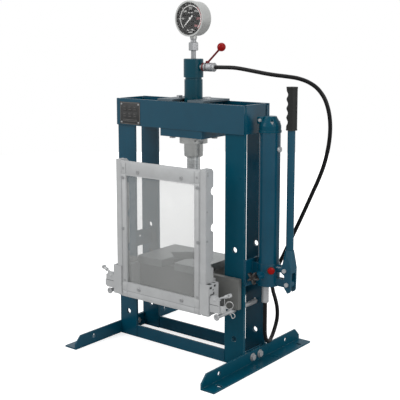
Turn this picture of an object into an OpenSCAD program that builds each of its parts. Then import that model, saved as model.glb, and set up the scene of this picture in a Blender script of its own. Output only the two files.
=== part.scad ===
// Bench-top hydraulic shop press: a welded frame, a pinned bed, a sliding guard, a hydraulic ram
// with a pressure gauge, and a hand pump on the right side that feeds the ram through a hose.
// +X is the pump side, -Y is the front and +Z is up. The origin is on the ground, at the middle
// of the four bench slots in the feet.

/* [Frame] */
// Width over the outer edges of the posts
frame_w = 460; // [400:5:560]
// Depth over the outer faces of the front and rear posts
frame_d = 110; // [96:1:132]
// Height of the posts
post_h = 717; // [700:1:860]
// Width of a post plate
post_w = 65; // [56:1:76]
// Thickness of a post plate
post_t = 8; // [6:0.5:10]
// Distance of the middle of the frame behind the middle of the feet
frame_back = 9.5; // [0:0.5:20]
// Height of the plates that tie the posts at the ground
base_h = 38; // [30:1:46]
// Thickness of the plates that tie the posts at the ground
base_t = 6; // [4:0.5:8]

/* [Feet] */
// Length of a foot from front to rear
foot_l = 474; // [420:2:560]
// Height of a foot's upright leg
foot_h = 38.4; // [32:0.2:44]
// Width of a foot's flat leg beyond the frame
foot_w = 44; // [38:1:56]
// Thickness of the foot angle
foot_t = 4.5; // [3:0.5:6]
// Bevel on the upright leg's upper corners
foot_bevel = 21.6; // [10:0.2:26]
// Distance from the frame's side to the bench slots
slot_x = 27.5; // [22:0.5:30]
// Distance between the front and rear bench slots
slot_pitch = 388; // [340:2:420]
// Width of a bench slot
slot_w = 10; // [7:0.5:12]
// Length of a bench slot
slot_l = 20; // [14:0.5:24]

/* [Bed] */
// Height of the lowest pin hole
hole_z = 75; // [65:1:90]
// Distance between pin holes
hole_pitch = 84; // [70:1:86]
// Number of pin holes in each post
hole_count = 4; // [3:1:4]
// The pin hole that carries the bed, counted from 0 at the bottom
bed_level = 1; // [1:1:1]
// Diameter of a pin hole
hole_d = 16; // [14.6:0.1:18]
// Diameter of a bed pin
bed_pin_d = 14; // [12:0.1:14.4]
// Length of a bed pin
bed_pin_l = 208; // [190:1:240]
// Distance that a bed pin stands out in front of the bed
bed_pin_out = 68; // [50:1:80]
// Height of a bed bar
bar_h = 85; // [70:1:100]
// Thickness of a bed bar
bar_t = 14; // [10:0.5:18]
// Distance from a bed bar's end to the frame's side
bar_short = 8; // [5:1:14]
// Thickness of a bed guide plate
guide_t = 10; // [6:0.5:14]
// Thickness of a press plate
press_t = 22; // [16:1:28]
// Width of a press plate
press_w = 112; // [96:1:120]
// Depth of a press plate from front to rear
press_l = 169; // [160:1:172]
// Depth of the V in a press plate
vee_depth = 60; // [56:1:66]
// Slope of the V's sides
vee_angle = 40; // [40:1:44]
// Distance that a press plate's front arm is shorter than its rear arm
arm_short = 20; // [0:1:30]
// Diameter of a bed pin's head
bed_pin_head_d = 18; // [16:0.5:20]

/* [Head] */
// Height of the head plates
head_h = 78; // [60:1:100]
// Thickness of the head plates
head_t = 6; // [5:0.5:10]
// Distance that the head plates stand above the posts
head_rise = 5; // [0:0.5:10]
// Thickness of the ribs inside the head
rib_t = 20; // [16:0.5:26]

/* [Ram] */
// Distance of the ram to the right of the frame's middle
ram_x = 12; // [0:1:20]
// Outer diameter of the cylinder
barrel_d = 52; // [50:0.5:54]
// Inner diameter of the cylinder
bore_d = 42; // [40:0.5:44]
// Diameter of the ram rod
rod_d = 39; // [36:0.5:39]
// Bore of the hollow rod
rod_bore = 20; // [18:0.5:24]
// Travel of the ram
stroke = 150; // [120:1:150]
// Length of the rod that stands out at rest
rod_out = 68; // [50:1:80]
// Diameter of the cylinder's cap
cap_d = 56; // [55:0.5:60]
// Height of the cylinder's cap
cap_h = 52; // [50:1:70]
// Distance from the head's top to the cylinder's cap
cap_rise = 66; // [50:1:80]
// Thickness of the bearing plate under the head
bearing_t = 22; // [16:1:30]
// Width of the bearing plate
bearing_w = 150; // [130:1:170]
// Diameter of the lock ring
ring_d = 80; // [70:1:90]
// Height of the lock ring
ring_h = 20; // [10:1:22]
// Height of the gland below the lock ring
gland_h = 39; // [30:1:50]
// Thickness of the clamp plate on the head
clamp_t = 6; // [5:0.5:10]

/* [Gauge] */
// Diameter over the gauge's bezel
gauge_d = 99; // [80:1:110]
// Depth of the gauge
gauge_depth = 41; // [34:1:46]
// Height of the gauge's stem below its case
stem_h = 56; // [48:1:70]
// Width of the stem's hexagon across its flats
stem_af = 25; // [22:1:30]
// Length of the needle from its axis to its tip
needle_l = 30; // [24:1:34]

/* [Pump] */
// Distance from the mounting plate to the pump's axis
pump_out = 36.7; // [35:0.1:44]
// Thickness of the pump's mounting plate
plate_t = 6; // [5:0.5:10]
// Height of the underside of the pump
pump_z = 233; // [216:1:246]
// Diameter of the pump's base casting
pump_base_d = 62; // [60:1:70]
// Height of the pump's base casting
pump_base_h = 61; // [61:1:74]
// Diameter of the oil tank
tank_d = 57; // [52:0.5:60]
// Height of the oil tank
tank_h = 357; // [300:1:400]
// Wall of the oil tank
tank_wall = 3; // [2:0.5:4]
// Diameter of the pump plunger
plunger_d = 14; // [12:0.5:16]
// Diameter of the handle's pins
pin_d = 8; // [6:0.5:9]

/* [Handle] */
// Distance from the pump's axis to the fulcrum pin
fulcrum_out = 68.3; // [66:0.1:74]
// Outer diameter of the handle tube
tube_d = 20.5; // [16:0.5:21.5]
// Wall of the handle tube
tube_wall = 2; // [1.5:0.5:3]
// Height of the grip's lower end above the fulcrum
grip_z = 414; // [340:1:460]
// Length of the grip
grip_l = 113; // [100:1:130]
// Diameter of the grip
grip_d = 30; // [26:1:34]

/* [Guard] */
// Half of the width between the guard's racks
guard_half = 144.5; // [130:0.5:144.5]
// Distance from the bed's front face to the guard's front face
guard_out = 68.5; // [60:0.5:80]
// Width of a rack
rack_w = 18; // [14:0.5:20]
// Depth of a rack
rack_d = 35; // [32:0.5:38]
// Height of a rack
rack_h = 406; // [380:1:440]
// Distance that a rack hangs below the bed
rack_drop = 16.5; // [10:0.5:20]
// Distance between the rack's notches
notch_pitch = 100; // [80:1:110]
// Radius of the rack's notches
notch_r = 11; // [10.5:0.5:12]
// Thickness of the guard's frame plate
guard_t = 5; // [3:0.5:6]
// Thickness of the clear panel
panel_t = 3; // [2:0.5:5]

/* [Hidden] */

$fn = 64;
// Radial clearance of a pin, bolt or spigot in its hole
fit = 0.05;
// Gap between parts that slide past each other
slide_gap = 0.5;
// Gap under a part that rests on another
rest_gap = 0.3;
// Overshoot of a cut past the face that it opens
cut = 1;

blue = "#294D60";
dark_blue = "#17323F";
pale_grey = "#A5A8A8";
bed_grey = "#555552";
zinc = "#C4C6C4";

// Frame positions
side = frame_w / 2;
inner = side - post_w;
front = frame_back - frame_d / 2;
rear = frame_back + frame_d / 2;
post_gap = frame_d - 2 * post_t;
post_x = side - post_w / 2;
head_z1 = post_h + head_rise;
head_z0 = head_z1 - head_h;
bolt_d = 10;
bolt_af = 16;
bolt_head = 7;
foot_bolt_y = 17.5;
foot_bolt_z = 20.5;
foot_hole_y = 162;
foot_hole_z = 22;
foot_hole_d = 12;
tie_t = 8;
tie_z = 270;
tie_h = 47;
tie_hole_d = 12;
tie_hole_z = 299;
end_plate_in = 2;

// Ram positions
bearing_d = frame_d + 6;
bearing_z = head_z0 - bearing_t;
ring_z = bearing_z - ring_h;
gland_z = ring_z - gland_h;
gland_d = 54;
gland_spigot = 18;
rod_z = gland_z - rod_out;
cap_z = head_z1 + cap_rise;
cap_top = cap_z + cap_h;
cap_neck = 6;
cap_neck_d = barrel_d - 5;
cap_roof = 14;
bore_top = cap_top - cap_roof;
piston_h = 25;
piston_top = bore_top - 20;
rod_floor = 25;
groove_h = 4;
groove_deep = 1;
bolt_x = 51;
bolt_y = 32;
clamp_w = 164;
clamp_d = frame_d + 2 * head_t + 1;
clamp_slot = barrel_d + 2;
port_d = 8;
port_z = cap_top - 22.5;
stem_thread_d = 10;
stem_d = 14;
stem_spigot = 10;

// Gauge positions
gauge_z = cap_top + stem_h + gauge_d / 2 + 5.5;
gauge_y = frame_back - 21.5;
bezel_h = 10;
bezel_lip = 1.5;
bezel_face = gauge_d / 2 - 4.5;
gauge_bore = gauge_d / 2 - 3;
glass_t = 2;
dial_y = gauge_y + bezel_h;
dial_t = 1;
case_wall = 2;
case_boss_d = 20;
spindle_d = 2.4;
needle_tail = 12;
needle_t = 0.8;
needle_angle = 225;

// Hose coupler and valve positions
coupler_flat = cap_d / 2 - 0.5;
nipple_d = 16;
coupler_d = 25;
coupler_x = ram_x + cap_d / 2 + 13;
coupler_l = 36;
coupler_end = coupler_x + coupler_l;
valve_x = coupler_x + 9;
valve_stem_d = 8;
valve_foot_d = 12;
valve_rod_d = 5;
valve_ball_d = 24;
valve_reach = 48;
valve_rise = 43;

// Pump positions
pump_x = side + plate_t + pump_out;
pump_y = frame_back;
pump_top = pump_z + pump_base_h;
tank_top = pump_top + tank_h;
pad_w = 48;
pad_t = 12;
pad_z = pump_z + 3;
plate_z = pump_z - 1;
plate_h = 72;
pump_bolt_y = 17;
pump_bolt_z = [pump_z + 16, pump_z + 50];
pump_bolt_d = 8;
pump_bolt_af = 13;
pump_bolt_head = 5.3;
tank_spigot = 8;
pump_cap_d = tank_d + 2;
pump_cap_h = 42;
pump_cap_wall = 17;
pump_cap_top_d = 34;
cap_bolt_r = 23;
cap_bolt_z = 21;
cap_bolt_d = 5;
cap_bolt_head_d = 8;
cap_bolt_head = 8;
filler_z = tank_top - 45;
filler_d = 10;
filler_head_d = 15;
filler_head = 5;
release_x = pump_x - 2.7;
release_z = pump_z + 32;
release_boss_d = 22;
release_boss_y = pump_y - 59.5;
release_stem_d = 10;
release_stem = 28;
knob_neck = 4;
knob_neck_d = 16;
knob_r = 18;
knob_h = 12;
knob_lobes = 6;
relief_angle = -45;
relief_z = pump_z + 46.5;
relief_boss_d = 22;
relief_d = 18.5;
relief_out = pump_base_d / 2 + 2;
relief_h = 4;
relief_dome = 3;
relief_stem_d = 10;
relief_stem = 10;
fitting_x = pump_x - 9.7;
fitting_thread_d = 12;
fitting_thread = 10;
fitting_nut_d = 16;
fitting_nut = 8;
fitting_d = 20;
fitting_l = 46;
fitting_end = pump_z - fitting_nut - fitting_l;

// Plunger and handle positions
fulcrum_x = pump_x + fulcrum_out;
fulcrum_z = pump_z + 13;
arm_r = 10.5;
arm_half = 8.5;
drive_dx = -7.6;
drive_dz = 37;
drive_x = fulcrum_x + drive_dx;
drive_z = fulcrum_z + drive_dz;
plunger_boss_d = 21.5;
plunger_boss_end = drive_x - 13.5;
plunger_back = 4;
plunger_in = 66;
eye_r = 11.5;
eye_half = 7.5;
eye_side = 0.4;
eye_down = 4.3;
eye_up = 1.2;
cheek_in = 9;
cheek_out = 15;
fork_floor = 52;
socket_top = 92;
socket_taper = 46;
web_low = 32;
web_in = 8.5;
socket_d = 24;
tube_x = fulcrum_x - 1.5;
tube_floor = 58;
tube_top = grip_z + grip_l - 8;
pin_head_d = 11.5;
pin_head = 4;
scallops = 4;
scallop_pitch = 25;
scallop_half = 11;
scallop_deep = 4;
scallop_r = (scallop_half * scallop_half + scallop_deep * scallop_deep) / (2 * scallop_deep);

// Bed positions
bed_pin_z = hole_z + hole_pitch * bed_level - (hole_d - bed_pin_d) / 2 + 0.2;
bed_z = bed_pin_z + bed_pin_d / 2 + rest_gap;
bed_front = front - slide_gap - bar_t;
bed_rear = rear + slide_gap;
bed_top = bed_z + bar_h;
bar_l = frame_w - 2 * bar_short;
guide_x = inner - 2 - guide_t;
guide_z = bed_z + 9.5;
guide_h = 65;
press_back = 2;
press_y = bed_rear + bar_t - press_back - press_l;
press_gap = 6;
vee_shift = 2.5;
bed_pin_head = 5;
bed_pin_y = bed_front - bed_pin_out;
clip_y = bed_front - 6;
clip_wire = 2.5;
clip_ring_r = 9.5;
clip_stem = 8;
clip_turn = 22;

// Guard positions
guard_y = bed_front - guard_out;
rack_z = bed_z - rack_drop;
rack_rear = guard_y + rack_d;
notch_z = rack_z + 44.5;
notch_count = 4;
rack_bevel = 8;
guard_z = rack_z + 5;
guard_h = 399;
window_half = guard_half - 20.5;
window_z = guard_z + 44;
window_h = 313;
panel_half = guard_half - 3;
panel_z = guard_z + 16;
panel_h = 370;
screw_d = 5;
screw_head_d = 9;
screw_head = 2.5;
screw_nut = 3;
screw_x = 79;
screw_points = [[-screw_x, 29], [screw_x, 29], [-screw_x, 370], [screw_x, 370],
    [-guard_half + 7.5, 201], [guard_half - 7.5, 201], [-guard_half + 7.5, 350],
    [guard_half - 7.5, 350]];
bracket_x = guard_half + rack_w + slide_gap;
bracket_w = 12;
bracket_plate = 3;
bracket_web = 8;
bracket_in = guard_half - bracket_web;
bracket_lip = 6;
bracket_z = bed_z - 7.5;
bracket_h = 85;
latch_d = 10;
latch_y = rack_rear + latch_d / 2 + slide_gap;
latch_travel = 10;
latch_slot_gap = 0.3;
latch_arm_w = 4;
latch_arm_h = 11;
latch_x = bracket_x + bracket_w + 1;
latch_w = 31;
latch_z = bed_z + 5;
latch_base_h = 20;
latch_base_d = 25;
latch_plate_h = 46.5;
latch_plate_t = 8;
lever_y = guard_y + 15;
lever_d = 7;
lever_eye_d = 11;
lever_eye_hole = 4;
lever_run = 31;
lever_rise = 14;

// Hose: the points of its middle line, from the coupler to the pump
hose_d = 11;
hose_sides = 10;
hose_steps = 2;
hose_points = [
    [89, 9.5, 817.5], [118, 9.5, 818], [158, 11.7, 817.3], [212, 17, 810], [244, 21, 805],
    [276, 26, 801], [308, 32, 798], [338, 38, 794], [366, 44, 785], [390, 51, 769], [408, 58, 743],
    [417, 65, 710], [419, 71, 674], [415, 76, 636], [406, 81, 598], [393, 86, 560], [376, 90, 522],
    [357, 93, 484], [319, 98, 408], [281, 100, 332], [262, 101, 294], [244, 101, 259],
    [230, 101, 228], [225, 101, 203], [229, 101, 182], [236, 101, 163], [242, 101, 142],
    [244, 101.5, 121], [242, 102, 101], [240, 98, 83.5], [240.5, 88.4, 68.6], [243.5, 73.6, 57.9],
    [249, 56, 53.7], [254.5, 38, 57.4], [259, 23, 68], [262, 13, 83.5], [263, 9.5, 102],
    [263, 9.5, 126], [263, 9.5, 152], [263, 9.5, 179]];

// Places a child at both sides of the frame
module both_sides() {
    children();
    mirror([1, 0, 0]) children();
}

// A rod of diameter d along X, from x0 to x1
module rod_x(x0, x1, d) {
    translate([x0, 0, 0]) rotate([0, 90, 0]) cylinder(h = x1 - x0, d = d);
}

// A rod of diameter d along Y, from y0 to y1
module rod_y(y0, y1, d) {
    translate([0, y0, 0]) rotate([-90, 0, 0]) cylinder(h = y1 - y0, d = d);
}

// A hexagon h high that is af across its flats
module hexagon(af, h) {
    cylinder(h = h, r = af / sqrt(3), $fn = 6);
}

// A hex bolt that points down: its head stands on z = 0 and its shank is l long
module hex_bolt(d, af, head, l) {
    hexagon(af, head);
    translate([0, 0, -l]) cylinder(h = l + cut, d = d);
}

// ---- Frame ----

module foot_angle() {
    long = foot_l / 2;
    difference() {
        union() {
            translate([side, 0, 0]) rotate([90, 0, 90]) linear_extrude(foot_t)
                polygon([[-long, 0], [long, 0], [long, foot_h - foot_bevel],
                    [long - foot_bevel, foot_h], [foot_bevel - long, foot_h],
                    [-long, foot_h - foot_bevel]]);
            translate([side, -long, 0]) cube([foot_w, foot_l, foot_t]);
        }
        for (y = [-1, 1]) {
            translate([side + slot_x, y * slot_pitch / 2, -cut]) bench_slot();
            translate([0, y * foot_hole_y, foot_hole_z])
                rod_x(side - cut, side + foot_t + cut, foot_hole_d);
            translate([0, frame_back + y * foot_bolt_y, foot_bolt_z])
                rod_x(side - cut, side + foot_t + cut, bolt_d + 2 * fit);
        }
    }
}

module bench_slot() {
    run = (slot_l - slot_w) / 2;
    for (x = [-run, run]) translate([x, 0, 0]) cylinder(h = foot_t + 2 * cut, d = slot_w);
    translate([-run, -slot_w / 2, 0]) cube([2 * run, slot_w, foot_t + 2 * cut]);
}

module left_foot() {
    color(dark_blue) mirror([1, 0, 0]) foot_angle();
}

module right_foot() {
    color(blue) foot_angle();
}

module frame_bolts() {
    color(zinc) {
        both_sides() for (y = [-foot_bolt_y, foot_bolt_y])
            translate([side + foot_t, frame_back + y, foot_bolt_z]) rotate([0, 90, 0])
                hex_bolt(bolt_d, bolt_af, bolt_head, foot_t + base_t);
        for (x = [-bolt_x, bolt_x], y = [-bolt_y, bolt_y])
            translate([ram_x + x, frame_back + y, bearing_z]) rotate([180, 0, 0])
                hex_bolt(bolt_d, bolt_af, bolt_head, bearing_t + 20);
        for (x = [-bolt_x, bolt_x]) translate([ram_x + x, frame_back, head_z1 + clamp_t])
            hex_bolt(bolt_d, bolt_af, bolt_head, clamp_t + 20);
        for (y = [-pump_bolt_y, pump_bolt_y], z = pump_bolt_z)
            translate([side, pump_y + y, z]) rotate([0, -90, 0])
                hex_bolt(pump_bolt_d, pump_bolt_af, pump_bolt_head, plate_t + pad_t - 2);
    }
}

module cross_members() {
    color(blue) for (end = [0, 1]) translate([0, frame_back, 0]) mirror([0, end, 0])
        translate([-inner, -frame_d / 2, 0]) cube([2 * inner, base_t, base_h - 1]);
}

module base_side_plates() {
    color(blue) both_sides() difference() {
        translate([side - base_t, front + post_t, 0]) cube([base_t, post_gap, base_h]);
        for (y = [-foot_bolt_y, foot_bolt_y]) translate([0, frame_back + y, foot_bolt_z])
            rod_x(side - base_t - cut, side + cut, bolt_d + 2 * fit);
    }
}

// The right post whose outer face is at y0 and whose plate runs back from it
module post(y0) {
    difference() {
        translate([inner, y0, 0]) cube([post_w, post_t, post_h]);
        for (i = [0:hole_count - 1]) translate([post_x, 0, hole_z + i * hole_pitch])
            rod_y(y0 - cut, y0 + post_t + cut, hole_d);
    }
}

module front_left_post() {
    color(blue) mirror([1, 0, 0]) post(front);
}

module front_right_post() {
    color(blue) post(front);
}

module rear_left_post() {
    color(dark_blue) mirror([1, 0, 0]) post(rear - post_t);
}

module rear_right_post() {
    color(dark_blue) post(rear - post_t);
}

module left_side_tie() {
    tie_x = -post_x;
    color(dark_blue) difference() {
        translate([tie_x - tie_t / 2, front + post_t, tie_z]) cube([tie_t, post_gap, tie_h]);
        translate([0, frame_back, tie_hole_z]) rod_x(tie_x - tie_t, tie_x + tie_t, tie_hole_d);
    }
}

module pump_mounting_plate() {
    color(blue) difference() {
        translate([side, front, plate_z]) cube([plate_t, frame_d, plate_h]);
        for (y = [-pump_bolt_y, pump_bolt_y], z = pump_bolt_z) translate([0, pump_y + y, z])
            rod_x(side - cut, side + plate_t + cut, pump_bolt_d + 2 * fit);
    }
}

// ---- Head ----

module head_front_plate() {
    color(blue) translate([-side, front - head_t, head_z0]) cube([frame_w, head_t, head_h]);
}

module head_rear_plate() {
    color(dark_blue) translate([-side, rear, head_z0]) cube([frame_w, head_t, head_h]);
}

module head_end_plates() {
    color(blue) both_sides() translate([side - end_plate_in - head_t, front + post_t, head_z0])
        cube([head_t, post_gap, head_h]);
}

module head_ribs() {
    color(dark_blue) difference() {
        for (x = [-bolt_x, bolt_x]) translate([ram_x + x - rib_t / 2, front, head_z0])
            cube([rib_t, frame_d, head_h]);
        for (x = [-bolt_x, bolt_x], y = [-bolt_y, bolt_y])
            translate([ram_x + x, frame_back + y, head_z0 - cut])
                cylinder(h = 20 + 2 * cut, d = bolt_d + 2 * fit);
        for (x = [-bolt_x, bolt_x]) translate([ram_x + x, frame_back, head_z1 - 20 - cut])
            cylinder(h = 20 + 2 * cut, d = bolt_d + 2 * fit);
    }
}

module ram_bearing_plate() {
    color(blue) difference() {
        translate([ram_x - bearing_w / 2, frame_back - bearing_d / 2, bearing_z])
            cube([bearing_w, bearing_d, bearing_t]);
        translate([ram_x, frame_back, bearing_z - cut])
            cylinder(h = bearing_t + 2 * cut, d = barrel_d + 2 * fit);
        for (x = [-bolt_x, bolt_x], y = [-bolt_y, bolt_y])
            translate([ram_x + x, frame_back + y, bearing_z - cut])
                cylinder(h = bearing_t + 2 * cut, d = bolt_d + 2 * fit);
    }
}

module ram_clamp_plate() {
    color(zinc) translate([ram_x, frame_back, head_z1]) difference() {
        translate([-clamp_w / 2, -clamp_d / 2, 0]) cube([clamp_w, clamp_d, clamp_t]);
        translate([0, 0, -cut]) cylinder(h = clamp_t + 2 * cut, d = clamp_slot);
        translate([-clamp_slot / 2, -clamp_d / 2 - cut, -cut])
            cube([clamp_slot, clamp_d / 2 + cut, clamp_t + 2 * cut]);
        for (x = [-bolt_x, bolt_x]) translate([x, 0, -cut])
            cylinder(h = clamp_t + 2 * cut, d = bolt_d + 2 * fit);
    }
}

// ---- Ram ----

module lock_ring() {
    color(zinc) translate([ram_x, frame_back, ring_z]) difference() {
        cylinder(h = ring_h, d = ring_d);
        translate([0, 0, -cut]) cylinder(h = ring_h + 2 * cut, d = barrel_d + 2 * fit);
        for (a = [45:90:315]) rotate([0, 0, a]) translate([ring_d / 2, 0, ring_h / 2])
            rotate([0, -90, 0]) cylinder(h = 8, d = 6);
    }
}

module cylinder_barrel() {
    color(blue) translate([ram_x, frame_back, 0]) difference() {
        rotate_extrude() polygon([[0, ring_z], [barrel_d / 2, ring_z],
            [barrel_d / 2, cap_z - cap_neck], [cap_neck_d / 2, cap_z - cap_neck],
            [cap_neck_d / 2, cap_z], [cap_d / 2, cap_z], [cap_d / 2, cap_top - 1.5],
            [cap_d / 2 - 1.5, cap_top], [0, cap_top]]);
        translate([0, 0, ring_z - cut]) cylinder(h = bore_top - ring_z + cut, d = bore_d);
        translate([0, 0, bore_top - cut]) cylinder(h = cap_roof + 2 * cut, d = stem_thread_d + 2 * fit);
        translate([0, 0, port_z]) {
            rod_x(bore_d / 2 - 4, cap_d / 2 + cut, port_d);
            rod_x(coupler_flat, cap_d / 2 + cut, nipple_d + 4);
        }
    }
}

module cylinder_gland() {
    color(zinc) translate([ram_x, frame_back, 0]) rotate_extrude()
        polygon([[rod_d / 2 + fit, gland_z], [gland_d / 2 - 2, gland_z], [gland_d / 2, gland_z + 2],
            [gland_d / 2, ring_z], [bore_d / 2 - fit, ring_z],
            [bore_d / 2 - fit, ring_z + gland_spigot], [rod_d / 2 + fit, ring_z + gland_spigot]]);
}

module ram_rod() {
    r = rod_d / 2;
    color(zinc) translate([ram_x, frame_back, 0]) rotate_extrude()
        polygon([[0, rod_z], [r - 1.5, rod_z], [r, rod_z + 1.5], [r, gland_z - 8],
            [r - groove_deep, gland_z - 8], [r - groove_deep, gland_z - 8 + groove_h],
            [r, gland_z - 8 + groove_h], [r, piston_top - piston_h],
            [bore_d / 2 - fit, piston_top - piston_h], [bore_d / 2 - fit, piston_top],
            [rod_bore / 2, piston_top], [rod_bore / 2, rod_z + rod_floor], [0, rod_z + rod_floor]]);
}

// The coiled spring that draws the ram back, inside the hollow rod
module return_spring() {
    coil = 5;
    outer = rod_bore / 2 - 1;
    low = rod_z + rod_floor + 1;
    turns = floor((bore_top - low) / coil);
    first = bore_top - turns * coil;
    color(zinc) translate([ram_x, frame_back, 0]) rotate_extrude()
        polygon(concat([[outer - 3, first], [outer - 0.8, first]],
            [for (i = [0:turns - 1], k = [0, 1])
                [outer - (k == 0 ? 0 : 0.8), first + (i + 0.5 + 0.5 * k) * coil]],
            [[outer - 3, bore_top]]));
}

// ---- Gauge ----

module gauge_stem() {
    color(zinc) translate([ram_x, frame_back, cap_top]) {
        translate([0, 0, -stem_spigot]) cylinder(h = stem_spigot + cut, d = stem_thread_d);
        cylinder(h = stem_h, d = stem_d);
        translate([0, 0, 23]) hexagon(stem_af, 23);
    }
}

module gauge_case() {
    r = gauge_d / 2;
    color("#1D1F20") difference() {
        union() {
            translate([ram_x, 0, gauge_z]) {
                rod_y(gauge_y, gauge_y + bezel_h, gauge_d);
                rod_y(gauge_y + bezel_h - cut, gauge_y + gauge_depth, gauge_d - 4);
            }
            translate([ram_x, frame_back, cap_top + stem_h]) cylinder(h = 12, d = case_boss_d);
        }
        translate([ram_x, 0, gauge_z]) {
            rod_y(gauge_y - cut, gauge_y + bezel_lip, 2 * bezel_face);
            rod_y(gauge_y + bezel_lip, dial_y, 2 * gauge_bore);
            rod_y(dial_y - cut, gauge_y + gauge_depth - case_wall, 2 * gauge_bore - 3);
        }
    }
}

module gauge_dial() {
    color("#151515") translate([ram_x, 0, gauge_z]) difference() {
        rod_y(dial_y - dial_t, dial_y, 2 * (gauge_bore - fit));
        rod_y(dial_y - dial_t - cut, dial_y + cut, spindle_d + 2 * fit);
    }
}

module gauge_glass() {
    color([0.8, 0.9, 0.95, 0.3]) translate([ram_x, 0, gauge_z])
        rod_y(gauge_y + bezel_lip, gauge_y + bezel_lip + glass_t, 2 * (gauge_bore - fit));
}

module gauge_needle() {
    needle_y = dial_y - dial_t - 2.2;
    color("white") translate([ram_x, 0, gauge_z]) {
        rod_y(needle_y - 1, dial_y - dial_t - rest_gap, 7);
        rod_y(dial_y - dial_t - rest_gap - cut, dial_y + 6, spindle_d);
        rotate([0, -needle_angle, 0]) translate([0, needle_y + needle_t, 0]) rotate([90, 0, 0])
            linear_extrude(needle_t)
                polygon([[-needle_tail, -2], [0, -1.6], [needle_l - 4, -0.9], [needle_l, 0],
                    [needle_l - 4, 0.9], [0, 1.6], [-needle_tail, 2]]);
    }
}

// ---- Hose and its fittings ----

module hose_coupler() {
    color(zinc) difference() {
        translate([0, frame_back, port_z]) {
            rod_x(ram_x + coupler_flat, coupler_x, nipple_d);
            rod_x(ram_x + coupler_flat - 4, ram_x + coupler_flat + cut, port_d - 2 * fit);
            rod_x(coupler_x - cut, coupler_end, coupler_d);
        }
        translate([valve_x, frame_back, port_z + 2])
            cylinder(h = coupler_d, d = valve_stem_d + 2 * fit);
    }
}

module valve_lever() {
    top = port_z + coupler_d / 2 + rest_gap;
    lift = 3;
    reach = norm([valve_reach, valve_rise - lift]);
    color("#B3202A") translate([valve_x, frame_back, top]) {
        translate([0, 0, -9]) cylinder(h = 10, d = valve_stem_d);
        cylinder(h = 6, d = valve_foot_d);
        translate([0, 0, lift]) rotate([0, atan2(valve_reach, valve_rise - lift), 0])
            cylinder(h = reach, d = valve_rod_d);
        translate([valve_reach, 0, valve_rise]) sphere(d = valve_ball_d);
    }
}

// A point of the smooth curve through the hose's points, between point i and the next, at t
function hose_at(i, t) =
    let (p = hose_points, n = len(p) - 1, b = p[i], c = p[i + 1],
        a = i > 0 ? p[i - 1] : 2 * b - c, d = i + 1 < n ? p[i + 2] : 2 * c - b)
    0.5 * (2 * b + (c - a) * t + (2 * a - 5 * b + 4 * c - d) * t * t
        + (3 * b - a - 3 * c + d) * t * t * t);

function unit(v) = v / norm(v);

// The hose's middle line, and its direction at each point
hose_line = concat([for (i = [0:len(hose_points) - 2], k = [0:hose_steps - 1])
    hose_at(i, k / hose_steps)], [hose_points[len(hose_points) - 1]]);
hose_last = len(hose_line) - 1;
hose_run = [for (i = [0:hose_last]) i == 0 ? [1, 0, 0] : i == hose_last ? [0, 0, 1]
    : unit(hose_line[i + 1] - hose_line[i - 1])];

// A direction square to the hose at each ring, carried along it without twisting
function carried(i, side_dir) = i > hose_last ? [] : let (
    d = unit(side_dir - (side_dir * hose_run[i]) * hose_run[i]))
    concat([d], carried(i + 1, d));

module hose() {
    sides = carried(0, [0, 1, 0]);
    rings = [for (i = [0:hose_last], k = [0:hose_sides - 1])
        let (a = 360 * k / hose_sides, up = cross(hose_run[i], sides[i]))
        hose_line[i] + hose_d / 2 * (cos(a) * sides[i] + sin(a) * up)];
    walls = [for (i = [0:hose_last - 1], k = [0:hose_sides - 1])
        let (n = (k + 1) % hose_sides, base = i * hose_sides)
        [base + k, base + hose_sides + k, base + hose_sides + n, base + n]];
    color("#1E1E1F") polyhedron(points = rings, faces = concat(
        [[for (k = [0:hose_sides - 1]) k]], walls,
        [[for (k = [hose_sides - 1:-1:0]) hose_last * hose_sides + k]]));
}

module hose_fitting() {
    color(zinc) translate([fitting_x, pump_y, fitting_end]) {
        cylinder(h = fitting_l, d = fitting_d);
        cylinder(h = fitting_l + fitting_nut, d = fitting_nut_d);
        cylinder(h = fitting_l + fitting_nut + fitting_thread, d = fitting_thread_d);
    }
}

// ---- Pump ----

module pump_base() {
    color(blue) difference() {
        union() {
            translate([pump_x, pump_y, pump_z]) cylinder(h = pump_base_h, d = pump_base_d);
            translate([pump_x, pump_y, pump_top - cut])
                cylinder(h = tank_spigot + cut, d = tank_d - 2 * tank_wall - 2 * fit);
            translate([side + plate_t, pump_y - pad_w / 2, pad_z])
                cube([pump_out, pad_w, pump_top - pad_z]);
            translate([release_x, 0, release_z]) rod_y(release_boss_y, pump_y, release_boss_d);
            translate([pump_x, pump_y, relief_z]) rotate([0, 0, relief_angle])
                rod_x(0, relief_out, relief_boss_d);
            translate([0, pump_y, drive_z]) rod_x(pump_x, plunger_boss_end, plunger_boss_d);
            translate([pump_x, pump_y - arm_half, fulcrum_z - arm_r])
                cube([fulcrum_out, 2 * arm_half, 2 * arm_r]);
            translate([fulcrum_x, 0, fulcrum_z])
                rod_y(pump_y - arm_half, pump_y + arm_half, 2 * arm_r);
        }
        translate([0, pump_y, drive_z]) rod_x(drive_x - plunger_in - plunger_back,
            plunger_boss_end + cut, plunger_d + 2 * fit);
        translate([fulcrum_x, 0, fulcrum_z])
            rod_y(pump_y - arm_half - cut, pump_y + arm_half + cut, pin_d + 2 * fit);
        translate([release_x, 0, release_z]) rod_y(release_boss_y - cut,
            release_boss_y + release_stem, release_stem_d + 2 * fit);
        translate([pump_x, pump_y, relief_z]) rotate([0, 0, relief_angle])
            rod_x(relief_out - relief_stem - cut, relief_out + cut, relief_stem_d + 2 * fit);
        translate([fitting_x, pump_y, pump_z - cut])
            cylinder(h = fitting_thread + 2 * cut, d = fitting_thread_d + 2 * fit);
        for (y = [-pump_bolt_y, pump_bolt_y], z = pump_bolt_z) translate([0, pump_y + y, z])
            rod_x(side + plate_t - cut, side + plate_t + pad_t - cut, pump_bolt_d + 2 * fit);
    }
}

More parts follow.
